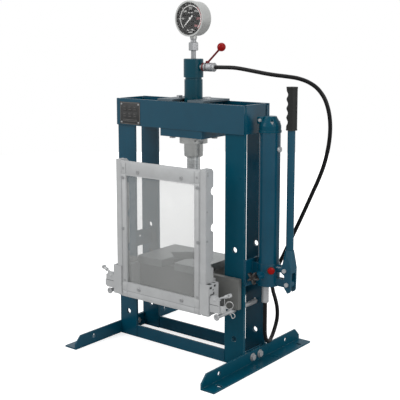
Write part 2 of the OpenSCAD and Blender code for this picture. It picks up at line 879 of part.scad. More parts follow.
module pump_tank() {
    color(blue) difference() {
        translate([pump_x, pump_y, pump_top]) cylinder(h = tank_h, d = tank_d);
        translate([pump_x, pump_y, pump_top - cut])
            cylinder(h = tank_h + 2 * cut, d = tank_d - 2 * tank_wall);
        translate([0, pump_y, filler_z])
            rod_x(pump_x, pump_x + tank_d, filler_d + 2 * fit);
    }
}

module pump_cap() {
    r = pump_cap_d / 2;
    color(blue) translate([pump_x, pump_y, tank_top]) difference() {
        rotate_extrude() polygon([[0, -6], [tank_d / 2 - tank_wall - fit, -6],
            [tank_d / 2 - tank_wall - fit, 0], [r, 0], [r, pump_cap_wall], [r - 3, pump_cap_h - 16],
            [r - 9.5, pump_cap_h - 6], [pump_cap_top_d / 2, pump_cap_h], [0, pump_cap_h]]);
        for (a = [45:90:315]) rotate([0, 0, a]) translate([cap_bolt_r, 0, 0]) {
            translate([0, 0, 4]) cylinder(h = pump_cap_h, d = cap_bolt_d + 2 * fit);
            translate([0, 0, cap_bolt_z]) cylinder(h = pump_cap_h, d = cap_bolt_head_d + 1);
        }
    }
}

module pump_cap_bolts() {
    color(zinc) translate([pump_x, pump_y, tank_top]) for (a = [45:90:315]) rotate([0, 0, a])
        translate([cap_bolt_r, 0, 0]) {
            translate([0, 0, 5]) cylinder(h = cap_bolt_z - 4, d = cap_bolt_d);
            translate([0, 0, cap_bolt_z]) cylinder(h = cap_bolt_head, d = cap_bolt_head_d);
        }
}

module filler_plug() {
    face = pump_x + tank_d / 2;
    color(zinc) translate([0, pump_y, filler_z]) {
        rod_x(face - tank_wall - 1, face + cut, filler_d);
        rod_x(face, face + filler_head, filler_head_d);
    }
}

module relief_valve_cap() {
    color("#C4202A") translate([pump_x, pump_y, relief_z]) rotate([0, 0, relief_angle]) {
        rod_x(relief_out - relief_stem, relief_out + cut, relief_stem_d);
        translate([relief_out, 0, 0]) rotate([0, 90, 0]) rotate_extrude() polygon(concat(
            [[0, 0], [relief_d / 2, 0]], [for (a = [0:15:90])
                [relief_d / 2 * cos(a), relief_h + relief_dome * sin(a)]]));
    }
}

module release_knob() {
    neck_y = release_boss_y - rest_gap;
    knob_y = neck_y - knob_neck;
    color("#222222") translate([release_x, 0, release_z]) {
        rod_y(neck_y - cut, release_boss_y + release_stem - 2, release_stem_d);
        rod_y(knob_y - cut, neck_y, knob_neck_d);
        rod_y(knob_y - knob_h, knob_y, 2 * knob_r - 12);
        for (i = [0:knob_lobes - 1]) rotate([0, i * 360 / knob_lobes, 0])
            translate([0, 0, knob_r - 5]) rod_y(knob_y - knob_h, knob_y, 10);
    }
}

module pump_plunger() {
    color(zinc) translate([0, pump_y, drive_z]) difference() {
        union() {
            rod_x(drive_x - plunger_in, drive_x, plunger_d);
            translate([drive_x, 0, 0]) rod_y(-eye_half, eye_half, 2 * eye_r);
        }
        translate([drive_x - pin_d / 2 - eye_side, -eye_half - cut, -pin_d / 2 - eye_down])
            cube([pin_d + 2 * eye_side, 2 * (eye_half + cut), pin_d + eye_down + eye_up]);
    }
}

module fulcrum_pin() {
    reach = cheek_out + rest_gap;
    color(zinc) translate([fulcrum_x, pump_y, fulcrum_z]) {
        rod_y(-reach - cut, reach + cut, pin_d);
        rod_y(-reach - pin_head, -reach, pin_head_d);
        rod_y(reach, reach + pin_head, pin_head_d);
    }
}

module drive_pin() {
    color(zinc) translate([drive_x, pump_y, drive_z]) {
        rod_y(-cheek_out - cut, cheek_out + cut, pin_d);
        rod_y(-cheek_out - pin_head, -cheek_out, pin_head_d);
        rod_y(cheek_out, cheek_out + pin_head, pin_head_d);
    }
}

// ---- Handle ----

module handle_socket() {
    color(blue) difference() {
        union() {
            translate([fulcrum_x, pump_y + cheek_out, fulcrum_z]) rotate([90, 0, 0])
                linear_extrude(2 * cheek_out) polygon([[2, -24], [8, -21], [11, -16], [12, 13],
                    [12.5, socket_taper + 1], [-19, socket_taper + 1], [-19.5, 36],
                    [-17, 29], [-9, 24], [-8, 7], [-9.5, -2], [-8, -11]]);
            intersection() {
                translate([tube_x, pump_y, fulcrum_z + socket_taper])
                    cylinder(h = socket_top - socket_taper, d1 = 40, d2 = socket_d);
                translate([fulcrum_x - 18, pump_y - cheek_out, fulcrum_z + socket_taper])
                    cube([30.5, 2 * cheek_out, socket_top - socket_taper]);
            }
        }
        translate([fulcrum_x - 40, pump_y - cheek_in, fulcrum_z - 40])
            cube([80, 2 * cheek_in, 40 + web_low]);
        translate([fulcrum_x - 40, pump_y - cheek_in, fulcrum_z + web_low - 1])
            cube([40 + web_in, 2 * cheek_in, fork_floor - web_low + 1]);
        translate([fulcrum_x, 0, fulcrum_z])
            rod_y(pump_y - cheek_out - cut, pump_y + cheek_out + cut, pin_d + 2 * fit);
        translate([drive_x, 0, drive_z])
            rod_y(pump_y - cheek_out - cut, pump_y + cheek_out + cut, pin_d + 2 * fit);
        translate([tube_x, pump_y, fulcrum_z + tube_floor])
            cylinder(h = socket_top, d = tube_d + 2 * fit);
    }
}

module handle_tube() {
    color(blue) translate([tube_x, pump_y, fulcrum_z + tube_floor]) difference() {
        cylinder(h = tube_top - tube_floor, d = tube_d);
        translate([0, 0, -cut])
            cylinder(h = tube_top - tube_floor + 2 * cut, d = tube_d - 2 * tube_wall);
    }
}

module handle_grip() {
    first = grip_l / 2 - scallop_pitch * (scallops - 1) / 2;
    color("#262626") translate([tube_x, pump_y, fulcrum_z + grip_z]) difference() {
        cylinder(h = grip_l, d = grip_d);
        translate([0, 0, -cut]) cylinder(h = tube_top - grip_z + 2 * cut, d = tube_d + 2 * fit);
        for (i = [0:scallops - 1])
            translate([scallop_deep - grip_d / 2 - scallop_r, 0, first + i * scallop_pitch])
                rod_y(-grip_d, grip_d, 2 * scallop_r);
    }
}

// ---- Bed ----

module bed_front_bar() {
    color(bed_grey) translate([-bar_l / 2, bed_front, bed_z]) cube([bar_l, bar_t, bar_h]);
}

module bed_rear_bar() {
    color(bed_grey) translate([-bar_l / 2, bed_rear, bed_z]) cube([bar_l, bar_t, bar_h]);
}

module bed_guide_plates() {
    y0 = bed_front + bar_t;
    color(bed_grey) both_sides() translate([guide_x, y0, guide_z])
        cube([guide_t, bed_rear - y0, guide_h]);
}

// The right press plate, whose V opens to the left between a short front arm and a long rear arm
module press_plate() {
    x0 = press_gap / 2;
    mid = press_y + press_l / 2 + vee_shift;
    rise = tan(vee_angle);
    translate([0, 0, bed_top]) linear_extrude(press_t)
        polygon([[x0 + arm_short, press_y], [x0 + press_w, press_y],
            [x0 + press_w, press_y + press_l], [x0, press_y + press_l],
            [x0, mid + vee_depth * rise], [x0 + vee_depth, mid],
            [x0 + arm_short, mid - (vee_depth - arm_short) * rise]]);
}

module left_press_plate() {
    color(pale_grey) mirror([1, 0, 0]) press_plate();
}

module right_press_plate() {
    color(pale_grey) press_plate();
}

module bed_pin() {
    color(zinc) translate([post_x, 0, bed_pin_z]) difference() {
        union() {
            rod_y(bed_pin_y, bed_pin_y + bed_pin_l, bed_pin_d);
            rod_y(bed_pin_y, bed_pin_y + bed_pin_head, bed_pin_head_d);
        }
        translate([0, clip_y, -bed_pin_d]) cylinder(h = 2 * bed_pin_d, d = clip_wire + 2 * fit);
    }
}

module left_bed_pin() {
    mirror([1, 0, 0]) bed_pin();
}

module right_bed_pin() {
    bed_pin();
}

// A ring that stands on a bed pin, on a stem that goes down through it
module pin_clip() {
    ring_mid = bed_pin_d / 2 + clip_ring_r + clip_wire / 2 + 2 * fit;
    color(zinc) translate([post_x, clip_y, bed_pin_z]) {
        translate([0, 0, -bed_pin_d / 2 - clip_stem])
            cylinder(h = ring_mid - clip_ring_r + bed_pin_d / 2 + clip_stem, d = clip_wire);
        translate([0, 0, ring_mid]) rotate([90, 0, clip_turn]) rotate_extrude()
            translate([clip_ring_r, 0]) circle(d = clip_wire);
    }
}

module left_pin_clip() {
    mirror([1, 0, 0]) pin_clip();
}

module right_pin_clip() {
    pin_clip();
}

// ---- Guard ----

// On each side, a guide round the rack: a plate before it, a wall beside it, a lip behind it and a
// web that carries them on the bed
module guard_brackets() {
    slot_r = latch_d / 2 + latch_slot_gap;
    plate_y = guard_y - rest_gap - bracket_plate;
    lip_y = rack_rear + slide_gap;
    color(pale_grey) both_sides() difference() {
        union() {
            translate([guard_half, plate_y, bracket_z])
                cube([bracket_x + bracket_w - guard_half, bracket_plate, bracket_h]);
            translate([bracket_x, plate_y, bracket_z])
                cube([bracket_w, lip_y + bracket_lip - plate_y, bracket_h]);
            translate([bracket_in, lip_y, bracket_z])
                cube([bracket_x - bracket_in + cut, bracket_lip, bracket_h]);
            translate([bracket_in, lip_y, bracket_z])
                cube([bracket_web, bed_front - lip_y, bracket_h]);
        }
        translate([0, 0, notch_z]) {
            for (y = [latch_y - latch_travel, latch_y]) translate([0, y, 0])
                rod_x(guard_half, bracket_x + bracket_w + cut, 2 * slot_r);
            translate([guard_half, latch_y - latch_travel, -slot_r])
                cube([bracket_x + bracket_w - guard_half + cut, latch_travel, 2 * slot_r]);
        }
    }
}

module guard_frame() {
    color(pale_grey) translate([0, guard_y, guard_z]) difference() {
        translate([-guard_half, 0, 0]) cube([2 * guard_half, guard_t, guard_h]);
        translate([-window_half, -cut, window_z - guard_z])
            cube([2 * window_half, guard_t + 2 * cut, window_h]);
        for (p = screw_points) translate([p[0], 0, p[1]])
            rod_y(-cut, guard_t + cut, screw_d + 2 * fit);
    }
}

module guard_panel() {
    color([0.75, 0.77, 0.77, 0.4]) translate([0, guard_y + guard_t, guard_z]) difference() {
        translate([-panel_half, 0, panel_z - guard_z]) cube([2 * panel_half, panel_t, panel_h]);
        for (p = screw_points) translate([p[0], 0, p[1]])
            rod_y(-cut, panel_t + cut, screw_d + 2 * fit);
    }
}

module guard_screws() {
    back = guard_t + panel_t;
    color(zinc) for (p = screw_points) translate([p[0], guard_y, guard_z + p[1]]) {
        rod_y(-screw_head, 0, screw_head_d);
        rod_y(-cut, back + cut, screw_d);
        rod_y(back, back + screw_nut, screw_head_d - 1);
    }
}

// A rack: a bar with a rounded foot and half-round notches in its rear edge
module rack() {
    foot_r = rack_d / 2;
    difference() {
        union() {
            translate([guard_half, 0, 0]) rotate([90, 0, 90]) linear_extrude(rack_w)
                polygon([[guard_y, rack_z + foot_r], [rack_rear, rack_z + foot_r],
                    [rack_rear, rack_z + rack_h - rack_bevel],
                    [rack_rear - rack_bevel, rack_z + rack_h], [guard_y, rack_z + rack_h]]);
            translate([0, guard_y + foot_r, rack_z + foot_r])
                rod_x(guard_half, guard_half + rack_w, 2 * foot_r);
        }
        for (i = [0:notch_count - 1]) translate([0, rack_rear, notch_z + i * notch_pitch])
            rod_x(guard_half - cut, guard_half + rack_w + cut, 2 * notch_r);
    }
}

module guard_racks() {
    color(pale_grey) both_sides() rack();
}

// The right latch: a cross bar behind the rack's notch, an arm, a finger block and its lever
module guard_latch() {
    plate_r = latch_w / 2;
    lever_x = latch_x + latch_w - 6;
    lever_z = latch_z + latch_plate_h - 9;
    color(pale_grey) difference() {
        union() {
            translate([0, latch_y, notch_z]) rod_x(guard_half + 1, latch_x + 1, latch_d);
            translate([latch_x, guard_y + 1, notch_z - latch_arm_h / 2])
                cube([latch_arm_w, latch_y + latch_d / 2 - guard_y, latch_arm_h]);
            translate([latch_x, guard_y, latch_z]) cube([latch_w, latch_base_d, latch_base_h]);
            translate([latch_x + plate_r, guard_y + latch_plate_t, latch_z + latch_base_h - 1])
                rotate([90, 0, 0]) linear_extrude(latch_plate_t)
                    polygon(concat([[-plate_r, 0], [plate_r, 0]], [for (a = [0:20:180])
                        [plate_r * cos(a), latch_plate_h - latch_base_h + 1 - plate_r * (1 - sin(a))]]));
            translate([lever_x, guard_y + 2, lever_z]) rotate([-90, 0, 0])
                cylinder(h = lever_y - guard_y, d = lever_d);
            translate([lever_x, lever_y, lever_z]) rotate([0, atan2(lever_run, lever_rise), 0])
                cylinder(h = norm([lever_run, lever_rise]) - 2, d = lever_d - 1);
            translate([lever_x + lever_run, lever_y + lever_d / 2 + 0.5, lever_z + lever_rise])
                rotate([90, 0, 0]) cylinder(h = lever_d + 1, d = lever_eye_d);
        }
        translate([lever_x + lever_run, lever_y + lever_d, lever_z + lever_rise])
            rotate([90, 0, 0]) cylinder(h = 2 * lever_d, d = lever_eye_hole);
    }
}

module left_guard_latch() {
    mirror([1, 0, 0]) guard_latch();
}

module right_guard_latch() {
    guard_latch();
}

left_foot();
right_foot();
frame_bolts();
cross_members();
base_side_plates();
front_left_post();
front_right_post();
rear_left_post();
rear_right_post();
left_side_tie();
pump_mounting_plate();
head_front_plate();
head_rear_plate();
head_end_plates();
head_ribs();
ram_bearing_plate();
ram_clamp_plate();
lock_ring();
cylinder_barrel();
cylinder_gland();
ram_rod();
return_spring();
gauge_stem();
gauge_case();
gauge_dial();
gauge_glass();
gauge_needle();
hose_coupler();
valve_lever();
hose();
hose_fitting();
pump_base();
pump_tank();
pump_cap();
pump_cap_bolts();
filler_plug();
relief_valve_cap();
release_knob();
pump_plunger();
fulcrum_pin();
drive_pin();
handle_socket();
handle_tube();
handle_grip();
bed_front_bar();
bed_rear_bar();
bed_guide_plates();
left_press_plate();
right_press_plate();
left_bed_pin();
right_bed_pin();
left_pin_clip();
right_pin_clip();
guard_brackets();
guard_frame();
guard_panel();
guard_racks();
guard_screws();
left_guard_latch();
right_guard_latch();
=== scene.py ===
"""Looks of a bench-top hydraulic shop press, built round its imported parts. Lengths are in metres."""
import math

import bmesh
import bpy
from mathutils import Matrix, Vector


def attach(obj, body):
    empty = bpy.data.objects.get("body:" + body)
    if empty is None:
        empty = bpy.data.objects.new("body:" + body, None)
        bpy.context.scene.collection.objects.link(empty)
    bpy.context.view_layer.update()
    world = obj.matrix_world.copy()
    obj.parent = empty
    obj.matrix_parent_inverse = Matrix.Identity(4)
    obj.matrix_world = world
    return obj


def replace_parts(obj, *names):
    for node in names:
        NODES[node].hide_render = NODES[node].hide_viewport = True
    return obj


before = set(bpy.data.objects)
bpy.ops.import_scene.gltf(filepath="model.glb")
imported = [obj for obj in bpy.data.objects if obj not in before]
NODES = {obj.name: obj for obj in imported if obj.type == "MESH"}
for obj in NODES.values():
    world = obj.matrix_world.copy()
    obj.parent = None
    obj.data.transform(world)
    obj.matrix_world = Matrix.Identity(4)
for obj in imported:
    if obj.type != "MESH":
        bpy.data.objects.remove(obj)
bpy.context.view_layer.update()
MM = 0.001


# Camera

def make_camera():
    """The camera stands in front of the press, to its right and above its head."""
    turn, tilt = math.radians(38.15), math.radians(8.39)
    back = Vector((math.sin(turn) * math.cos(tilt), -math.cos(turn) * math.cos(tilt), math.sin(tilt)))
    data = bpy.data.cameras.new("camera")
    data.sensor_width = 36.0
    data.lens = 77.36
    data.shift_y = -0.1
    data.clip_end = 60.0
    camera = bpy.data.objects.new("camera", data)
    bpy.context.scene.collection.objects.link(camera)
    camera.rotation_mode = "QUATERNION"
    camera.location = (1.5306, -1.8941, 0.9107)
    camera.rotation_quaternion = (-back).to_track_quat("-Z", "Y")
    bpy.context.scene.camera = camera


make_camera()


# Places that several pieces share, in millimetres

AXIS_Y = 9.5            # the ram, the pump and the handle stand in one line
RAM_X = 12.0
PUMP_X = 272.7
GAUGE = Vector((RAM_X, -3.0, 951.0))
PIN_X = 197.5
GUARD_FRONT = -128.5
PAIR = ((-1, "left"), (1, "right"))


# Making of pieces

def point(x, y, z):
    """A place given in millimetres."""
    return Vector((x, y, z)) * MM


def finish_piece(piece, material, body):
    """The piece gets its finish and moves with its body."""
    piece.data.materials.append(material)
    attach(piece, body)
    return piece


def mesh_piece(name, bm, material, body, crease=35.0):
    """A piece from a finished bmesh, smooth but for the edges sharper than the crease angle."""
    bmesh.ops.recalc_face_normals(bm, faces=bm.faces)
    mesh = bpy.data.meshes.new(name)
    bm.to_mesh(mesh)
    bm.free()
    mesh.polygons.foreach_set("use_smooth", [True] * len(mesh.polygons))
    mesh.set_sharp_from_angle(angle=math.radians(crease))
    piece = bpy.data.objects.new(name, mesh)
    bpy.context.scene.collection.objects.link(piece)
    return finish_piece(piece, material, body)


def turned(bm, profile, base, axis, sides=64):
    """Adds a turned shape: the profile's (radius, distance along the axis) pairs, in millimetres, turned about it."""
    spin = Vector((0, 0, 1)).rotation_difference(Vector(axis).normalized()).to_matrix().to_4x4()
    spin.translation = Vector(base)
    rings = []
    for radius, along in profile:
        if radius <= 0:
            rings.append([bm.verts.new(spin @ point(0, 0, along))])
            continue
        rings.append([
            bm.verts.new(spin @ point(radius * math.cos(a), radius * math.sin(a), along))
            for a in (2 * math.pi * i / sides for i in range(sides))
        ])
    for low, high in zip(rings, rings[1:]):
        for i in range(sides):
            j = (i + 1) % sides
            if len(low) == 1 and len(high) == 1:
                continue
            if len(low) == 1:
                bm.faces.new((low[0], high[j], high[i]))
            elif len(high) == 1:
                bm.faces.new((low[i], low[j], high[0]))
            else:
                bm.faces.new((low[i], low[j], high[j], high[i]))
    return bm


def skin(bm, rows):
    """Joins closed rows of corners, all of one count, into a tube."""
    for near, far in zip(rows, rows[1:]):
        for i in range(len(near)):
            j = (i + 1) % len(near)
            bm.faces.new((near[i], near[j], far[j], far[i]))


def block(bm, low, high, round_off=0.0, steps=2):
    """Adds a box between two corners in millimetres, with its edges rounded off."""
    low, high = Vector(low), Vector(high)
    made = bmesh.ops.create_cube(bm, size=1.0)
    for v in made["verts"]:
        v.co = Vector([((l + h) / 2 + c * (h - l)) * MM for l, h, c in zip(low, high, v.co)])
    if round_off:
        edges = dict.fromkeys(e for v in made["verts"] for e in v.link_edges)
        bmesh.ops.bevel(bm, geom=list(edges), offset=round_off * MM, segments=steps, profile=0.5, affect="EDGES")
    return bm


def smooth_route(points, steps):
    """A Catmull-Rom line through the points."""
    ends = [points[0] * 2 - points[1]] + list(points) + [points[-1] * 2 - points[-2]]
    line = []
    for i in range(1, len(ends) - 2):
        a, b, c, d = ends[i - 1:i + 3]
        for k in range(steps):
            t = k / steps
            line.append(0.5 * (2 * b + (c - a) * t + (2 * a - 5 * b + 4 * c - d) * t ** 2
                               + (3 * b - a - 3 * c + d) * t ** 3))
    return line + [points[-1].copy()]


def tube_curve(name, line, radius, material, body, sides=6, closed=False):
    """A round rod or hose along a line, as a curve of one spline."""
    curve = bpy.data.curves.new(name, "CURVE")
    curve.dimensions = "3D"
    curve.bevel_depth = radius
    curve.bevel_resolution = sides
    curve.use_fill_caps = True
    spline = curve.splines.new("POLY")
    spline.points.add(len(line) - 1)
    for p, co in zip(spline.points, line):
        p.co = (*co, 1.0)
    spline.use_cyclic_u = closed
    piece = bpy.data.objects.new(name, curve)
    bpy.context.scene.collection.objects.link(piece)
    return finish_piece(piece, material, body)


# Effects that several finishes share

def effect(name, inputs, outputs):
    """An empty shader node group with named inputs and outputs."""
    group = bpy.data.node_groups.new(name, "ShaderNodeTree")
    for label, kind, value in inputs:
        group.interface.new_socket(name=label, in_out="INPUT", socket_type=kind).default_value = value
    for label, kind in outputs:
        group.interface.new_socket(name=label, in_out="OUTPUT", socket_type=kind)
    return group, group.nodes.new("NodeGroupInput"), group.nodes.new("NodeGroupOutput")


def node(tree, kind, **settings):
    """A node with its settings, and values for its input sockets by number or name."""
    made = tree.nodes.new(kind)
    for key, value in settings.pop("sockets", {}).items():
        made.inputs[key].default_value = value
    for key, value in settings.items():
        setattr(made, key, value)
    return made


def spread(tree, mask, low, high, start=0.3, end=0.7):
    """A number from low to high, while a mask socket goes from start to end."""
    ranged = node(tree, "ShaderNodeMapRange", sockets={1: start, 2: end, 3: low, 4: high})
    tree.links.new(mask, ranged.inputs[0])
    return ranged.outputs[0]


def edge_wear_effect():
    """A mask of the outer edges, broken up, where a finish is painted lighter: a painted edge highlight that also
    stands for paint rubbed thin.
    """
    group, given, out = effect(
        "edge highlight and wear",
        [("Width", "NodeSocketFloat", 0.0012), ("Amount", "NodeSocketFloat", 1.0)],
        [("Mask", "NodeSocketFloat")],
    )
    link = group.links.new
    rounded = node(group, "ShaderNodeBevel", samples=6)
    link(given.outputs["Width"], rounded.inputs["Radius"])
    surface = node(group, "ShaderNodeNewGeometry")
    dot = node(group, "ShaderNodeVectorMath", operation="DOT_PRODUCT")
    link(rounded.outputs["Normal"], dot.inputs[0])
    link(surface.outputs["Normal"], dot.inputs[1])
    turned_away = spread(group, dot.outputs["Value"], 0.0, 1.0, start=0.99, end=0.80)
    where = node(group, "ShaderNodeTexCoord")
    patches = node(group, "ShaderNodeTexNoise", sockets={"Scale": 60.0, "Detail": 5.0, "Roughness": 0.65})
    link(where.outputs["Object"], patches.inputs["Vector"])
    broken = spread(group, patches.outputs["Fac"], 0.15, 1.0, start=0.42, end=0.62)
    both = node(group, "ShaderNodeMath", operation="MULTIPLY")
    link(turned_away, both.inputs[0])
    link(broken, both.inputs[1])
    amount = node(group, "ShaderNodeMath", operation="MULTIPLY", use_clamp=True)
    link(both.outputs[0], amount.inputs[0])
    link(given.outputs["Amount"], amount.inputs[1])
    link(amount.outputs[0], out.inputs["Mask"])
    return group


def grain_effect():
    """Two sizes of soft mottling, as heights and as a mask."""
    group, given, out = effect(
        "mottled grain",
        [("Fine", "NodeSocketFloat", 700.0), ("Broad", "NodeSocketFloat", 18.0),
         ("Stretch", "NodeSocketVector", (1.0, 1.0, 1.0))],
        [("Height", "NodeSocketFloat"), ("Broad Mask", "NodeSocketFloat")],
    )
    link = group.links.new
    where = node(group, "ShaderNodeTexCoord")
    stretched = node(group, "ShaderNodeVectorMath", operation="MULTIPLY")
    link(where.outputs["Object"], stretched.inputs[0])
    link(given.outputs["Stretch"], stretched.inputs[1])
    fine = node(group, "ShaderNodeTexNoise", sockets={"Detail": 2.0, "Roughness": 0.5})
    broad = node(group, "ShaderNodeTexNoise", sockets={"Detail": 4.0, "Roughness": 0.6})
    for noise, scale in ((fine, "Fine"), (broad, "Broad")):
        link(given.outputs[scale], noise.inputs["Scale"])
    link(stretched.outputs[0], fine.inputs["Vector"])
    link(where.outputs["Object"], broad.inputs["Vector"])
    link(fine.outputs["Fac"], out.inputs["Height"])
    link(broad.outputs["Fac"], out.inputs["Broad Mask"])
    return group


def lathe_effect():
    """Fine rings left by a lathe, stacked along an axis."""
    group, given, out = effect(
        "lathe rings",
        [("Axis", "NodeSocketVector", (0.0, 0.0, 1.0)), ("Scale", "NodeSocketFloat", 900.0)],
        [("Height", "NodeSocketFloat")],
    )
    link = group.links.new
    where = node(group, "ShaderNodeTexCoord")
    along = node(group, "ShaderNodeVectorMath", operation="DOT_PRODUCT")
    link(where.outputs["Object"], along.inputs[0])
    link(given.outputs["Axis"], along.inputs[1])
    rings = node(group, "ShaderNodeTexNoise", noise_dimensions="1D", sockets={"Detail": 3.0, "Roughness": 0.7})
    link(along.outputs["Value"], rings.inputs["W"])
    link(given.outputs["Scale"], rings.inputs["Scale"])
    link(rings.outputs["Fac"], out.inputs["Height"])
    return group


# The edge mask lays painted highlights on edges, which also stand for worn paint.
EDGE_HIGHLIGHT_AND_WEAR = edge_wear_effect()
GRAIN = grain_effect()
LATHE = lathe_effect()


# Finishes

def new_finish(name, **sockets):
    """A material with one Principled shader. Sockets are set by their names, with _ for a space."""
    material = bpy.data.materials.new(name)
    material.use_nodes = True
    tree = material.node_tree
    shader = next(n for n in tree.nodes if n.type == "BSDF_PRINCIPLED")
    for key, value in sockets.items():
        shader.inputs[key.replace("_", " ")].default_value = value
    return material, tree, shader


def place(tree, group, **sockets):
    """An effect placed in a material with its own values."""
    made = tree.nodes.new("ShaderNodeGroup")
    made.node_tree = group
    for key, value in sockets.items():
        made.inputs[key].default_value = value
    return made


def blend_colours(tree, mask, low, high):
    """A colour between two, by a mask socket."""
    mix = node(tree, "ShaderNodeMix", data_type="RGBA")
    tree.links.new(mask, mix.inputs["Factor"])
    for socket, value in (("A", low), ("B", high)):
        found = [s for s in mix.inputs if s.name == socket and s.type == "RGBA"][0]
        if isinstance(value, tuple):
            found.default_value = (*value, 1.0)
        else:
            tree.links.new(value, found)
    return [s for s in mix.outputs if s.type == "RGBA"][0]


def bump(tree, height, depth):
    """A normal from a height, with its depth in metres."""
    made = node(tree, "ShaderNodeBump", sockets={"Strength": 1.0, "Distance": depth})
    tree.links.new(height, made.inputs["Height"])
    return made.outputs["Normal"]


def painted(name, colour, edge, rough, fine=650.0, depth=0.00006, **sockets):
    """Paint on metal: soft mottle in colour and gloss, a slightly pebbled skin, and edges painted lighter in the edge
    colour, a painted highlight that also stands for rubbed paint.
    """
    material, tree, shader = new_finish(name, **sockets)
    grain = place(tree, GRAIN, Fine=fine, Broad=9.0)
    edge_sheen_and_wear = place(tree, EDGE_HIGHLIGHT_AND_WEAR, Width=0.0016, Amount=0.5)
    darker = tuple(c * 0.90 for c in colour)
    lighter = tuple(min(1.0, c * 1.08) for c in colour)
    mottled = blend_colours(tree, spread(tree, grain.outputs["Broad Mask"], 0.0, 1.0), darker, lighter)
    # The edge colour goes on the edges as a painted highlight that also reads as rubbed paint.
    tree.links.new(blend_colours(tree, edge_sheen_and_wear.outputs["Mask"], mottled, edge), shader.inputs["Base Color"])
    tree.links.new(spread(tree, grain.outputs["Broad Mask"], rough * 0.85, rough * 1.15), shader.inputs["Roughness"])
    tree.links.new(bump(tree, grain.outputs["Height"], depth), shader.inputs["Normal"])
    return material


def bare_metal(name, colour, rough, axis=None, stretch=(1, 1, 1), fine=900.0, metallic=1.0):
    """Bare metal: turned about an axis where one is given, or with a stretched grain."""
    material, tree, shader = new_finish(name, Metallic=metallic)
    grain = place(tree, GRAIN, Fine=fine, Broad=25.0, Stretch=stretch)
    marks = grain.outputs["Height"]
    if axis:
        marks = place(tree, LATHE, Axis=axis, Scale=900.0).outputs["Height"]
    darker = tuple(c * 0.88 for c in colour)
    tree.links.new(blend_colours(tree, spread(tree, grain.outputs["Broad Mask"], 0.0, 1.0), darker, colour),
                   shader.inputs["Base Color"])
    tree.links.new(spread(tree, marks, rough * 0.8, rough * 1.25), shader.inputs["Roughness"])
    tree.links.new(bump(tree, marks, 0.00002), shader.inputs["Normal"])
    return material


def moulded(name, colour, rough, fine=1200.0, depth=0.00003, **sockets):
    """Plastic or rubber with a fine moulded skin."""
    material, tree, shader = new_finish(name, **sockets)
    grain = place(tree, GRAIN, Fine=fine, Broad=40.0)
    lighter = tuple(min(1.0, c * 1.25) for c in colour)
    tree.links.new(blend_colours(tree, spread(tree, grain.outputs["Broad Mask"], 0.0, 1.0), colour, lighter),
                   shader.inputs["Base Color"])
    tree.links.new(spread(tree, grain.outputs["Broad Mask"], rough * 0.9, rough * 1.1), shader.inputs["Roughness"])
    tree.links.new(bump(tree, grain.outputs["Height"], depth), shader.inputs["Normal"])
    return material


# Each paint's second colour is its edge colour: a painted edge highlight, partly standing for wear.
frame_paint = painted("frame paint", (0.0004, 0.055, 0.096), (0.17, 0.28, 0.32), 0.22, Specular_IOR_Level=0.40)
pump_paint = painted("pump paint", (0.0004, 0.056, 0.098), (0.17, 0.28, 0.32), 0.20, fine=900.0, depth=0.00003,
                     Specular_IOR_Level=0.42)
barrel_paint = painted("cylinder paint", (0.0003, 0.054, 0.082), (0.14, 0.24, 0.27), 0.20, fine=900.0, depth=0.00003,
                       Specular_IOR_Level=0.22)
# A copy of the frame paint for the press's right-hand parts. It is more saturated and less glossy to match how light
# falls on that side, and its paler edge colour is a painted highlight.
right_side_light_paint = painted("frame paint matched to the right side's light", (0.0002, 0.060, 0.098), (0.34, 0.46, 0.50), 0.30,
                     Specular_IOR_Level=0.14)
bed_paint = painted("bed paint", (0.150, 0.153, 0.147), (0.24, 0.24, 0.235), 0.60, fine=420.0, depth=0.0001)
press_steel = bare_metal("ground steel", (0.40, 0.42, 0.42), 0.42, stretch=(1.0, 0.08, 1.0))
guard_aluminium = bare_metal("guard aluminium", (0.53, 0.54, 0.545), 0.50, stretch=(1.0, 1.0, 0.06), fine=1100.0,
                             metallic=0.3)
screw_grey = bare_metal("screw steel", (0.43, 0.435, 0.44), 0.45, metallic=0.6)
seam_soft = moulded("soft seam", (0.26, 0.265, 0.27), 0.70)
# Dark seams, and painted shade in the guides' slots and the latches' recesses.
dark_seam_and_shade = moulded("dark seam and painted shade", (0.035, 0.037, 0.038), 0.70)
# Dark plate colour. It is also used as painted shade on the ring round the relief valve's cap.
dark_plate_and_shade = moulded("rating plate and painted shade", (0.022, 0.022, 0.022), 0.45, fine=500.0)
plate_pale = moulded("plate lines", (0.12, 0.115, 0.11), 0.55)
zinc = bare_metal("zinc plate", (0.37, 0.38, 0.39), 0.42, fine=500.0, metallic=0.55)
zinc_bright = bare_metal("bright zinc", (0.50, 0.51, 0.52), 0.38, fine=500.0, metallic=0.45)
rod_steel = bare_metal("ground rod", (0.78, 0.80, 0.80), 0.30, axis=(0, 0, 1), metallic=0.70)
zinc_clamp = bare_metal("zinc clamp plate", (0.105, 0.14, 0.165), 0.45, fine=500.0, metallic=0.5)
turned_steel = bare_metal("turned steel", (0.52, 0.53, 0.52), 0.34, axis=(0, 0, 1), metallic=0.85)
zinc_dull = bare_metal("knurled zinc", (0.42, 0.43, 0.45), 0.42, fine=700.0, metallic=0.8)
wire = bare_metal("clip wire", (0.62, 0.62, 0.62), 0.35, fine=1500.0, metallic=0.4)
stainless = bare_metal("stainless case", (0.50, 0.51, 0.50), 0.42, axis=(0, 1, 0), metallic=0.55)
dial_face = moulded("dial face", (0.010, 0.010, 0.010), 0.85, Specular_IOR_Level=0.2)
dial_white = moulded("dial print", (0.80, 0.80, 0.78), 0.70)
dial_red = moulded("dial red", (0.66, 0.26, 0.27), 0.70)
needle_paint = moulded("needle paint", (0.80, 0.80, 0.78), 0.60)
red_plastic = moulded("red knob", (0.23, 0.001, 0.001), 0.24, depth=0.00001, Specular_IOR_Level=0.18)
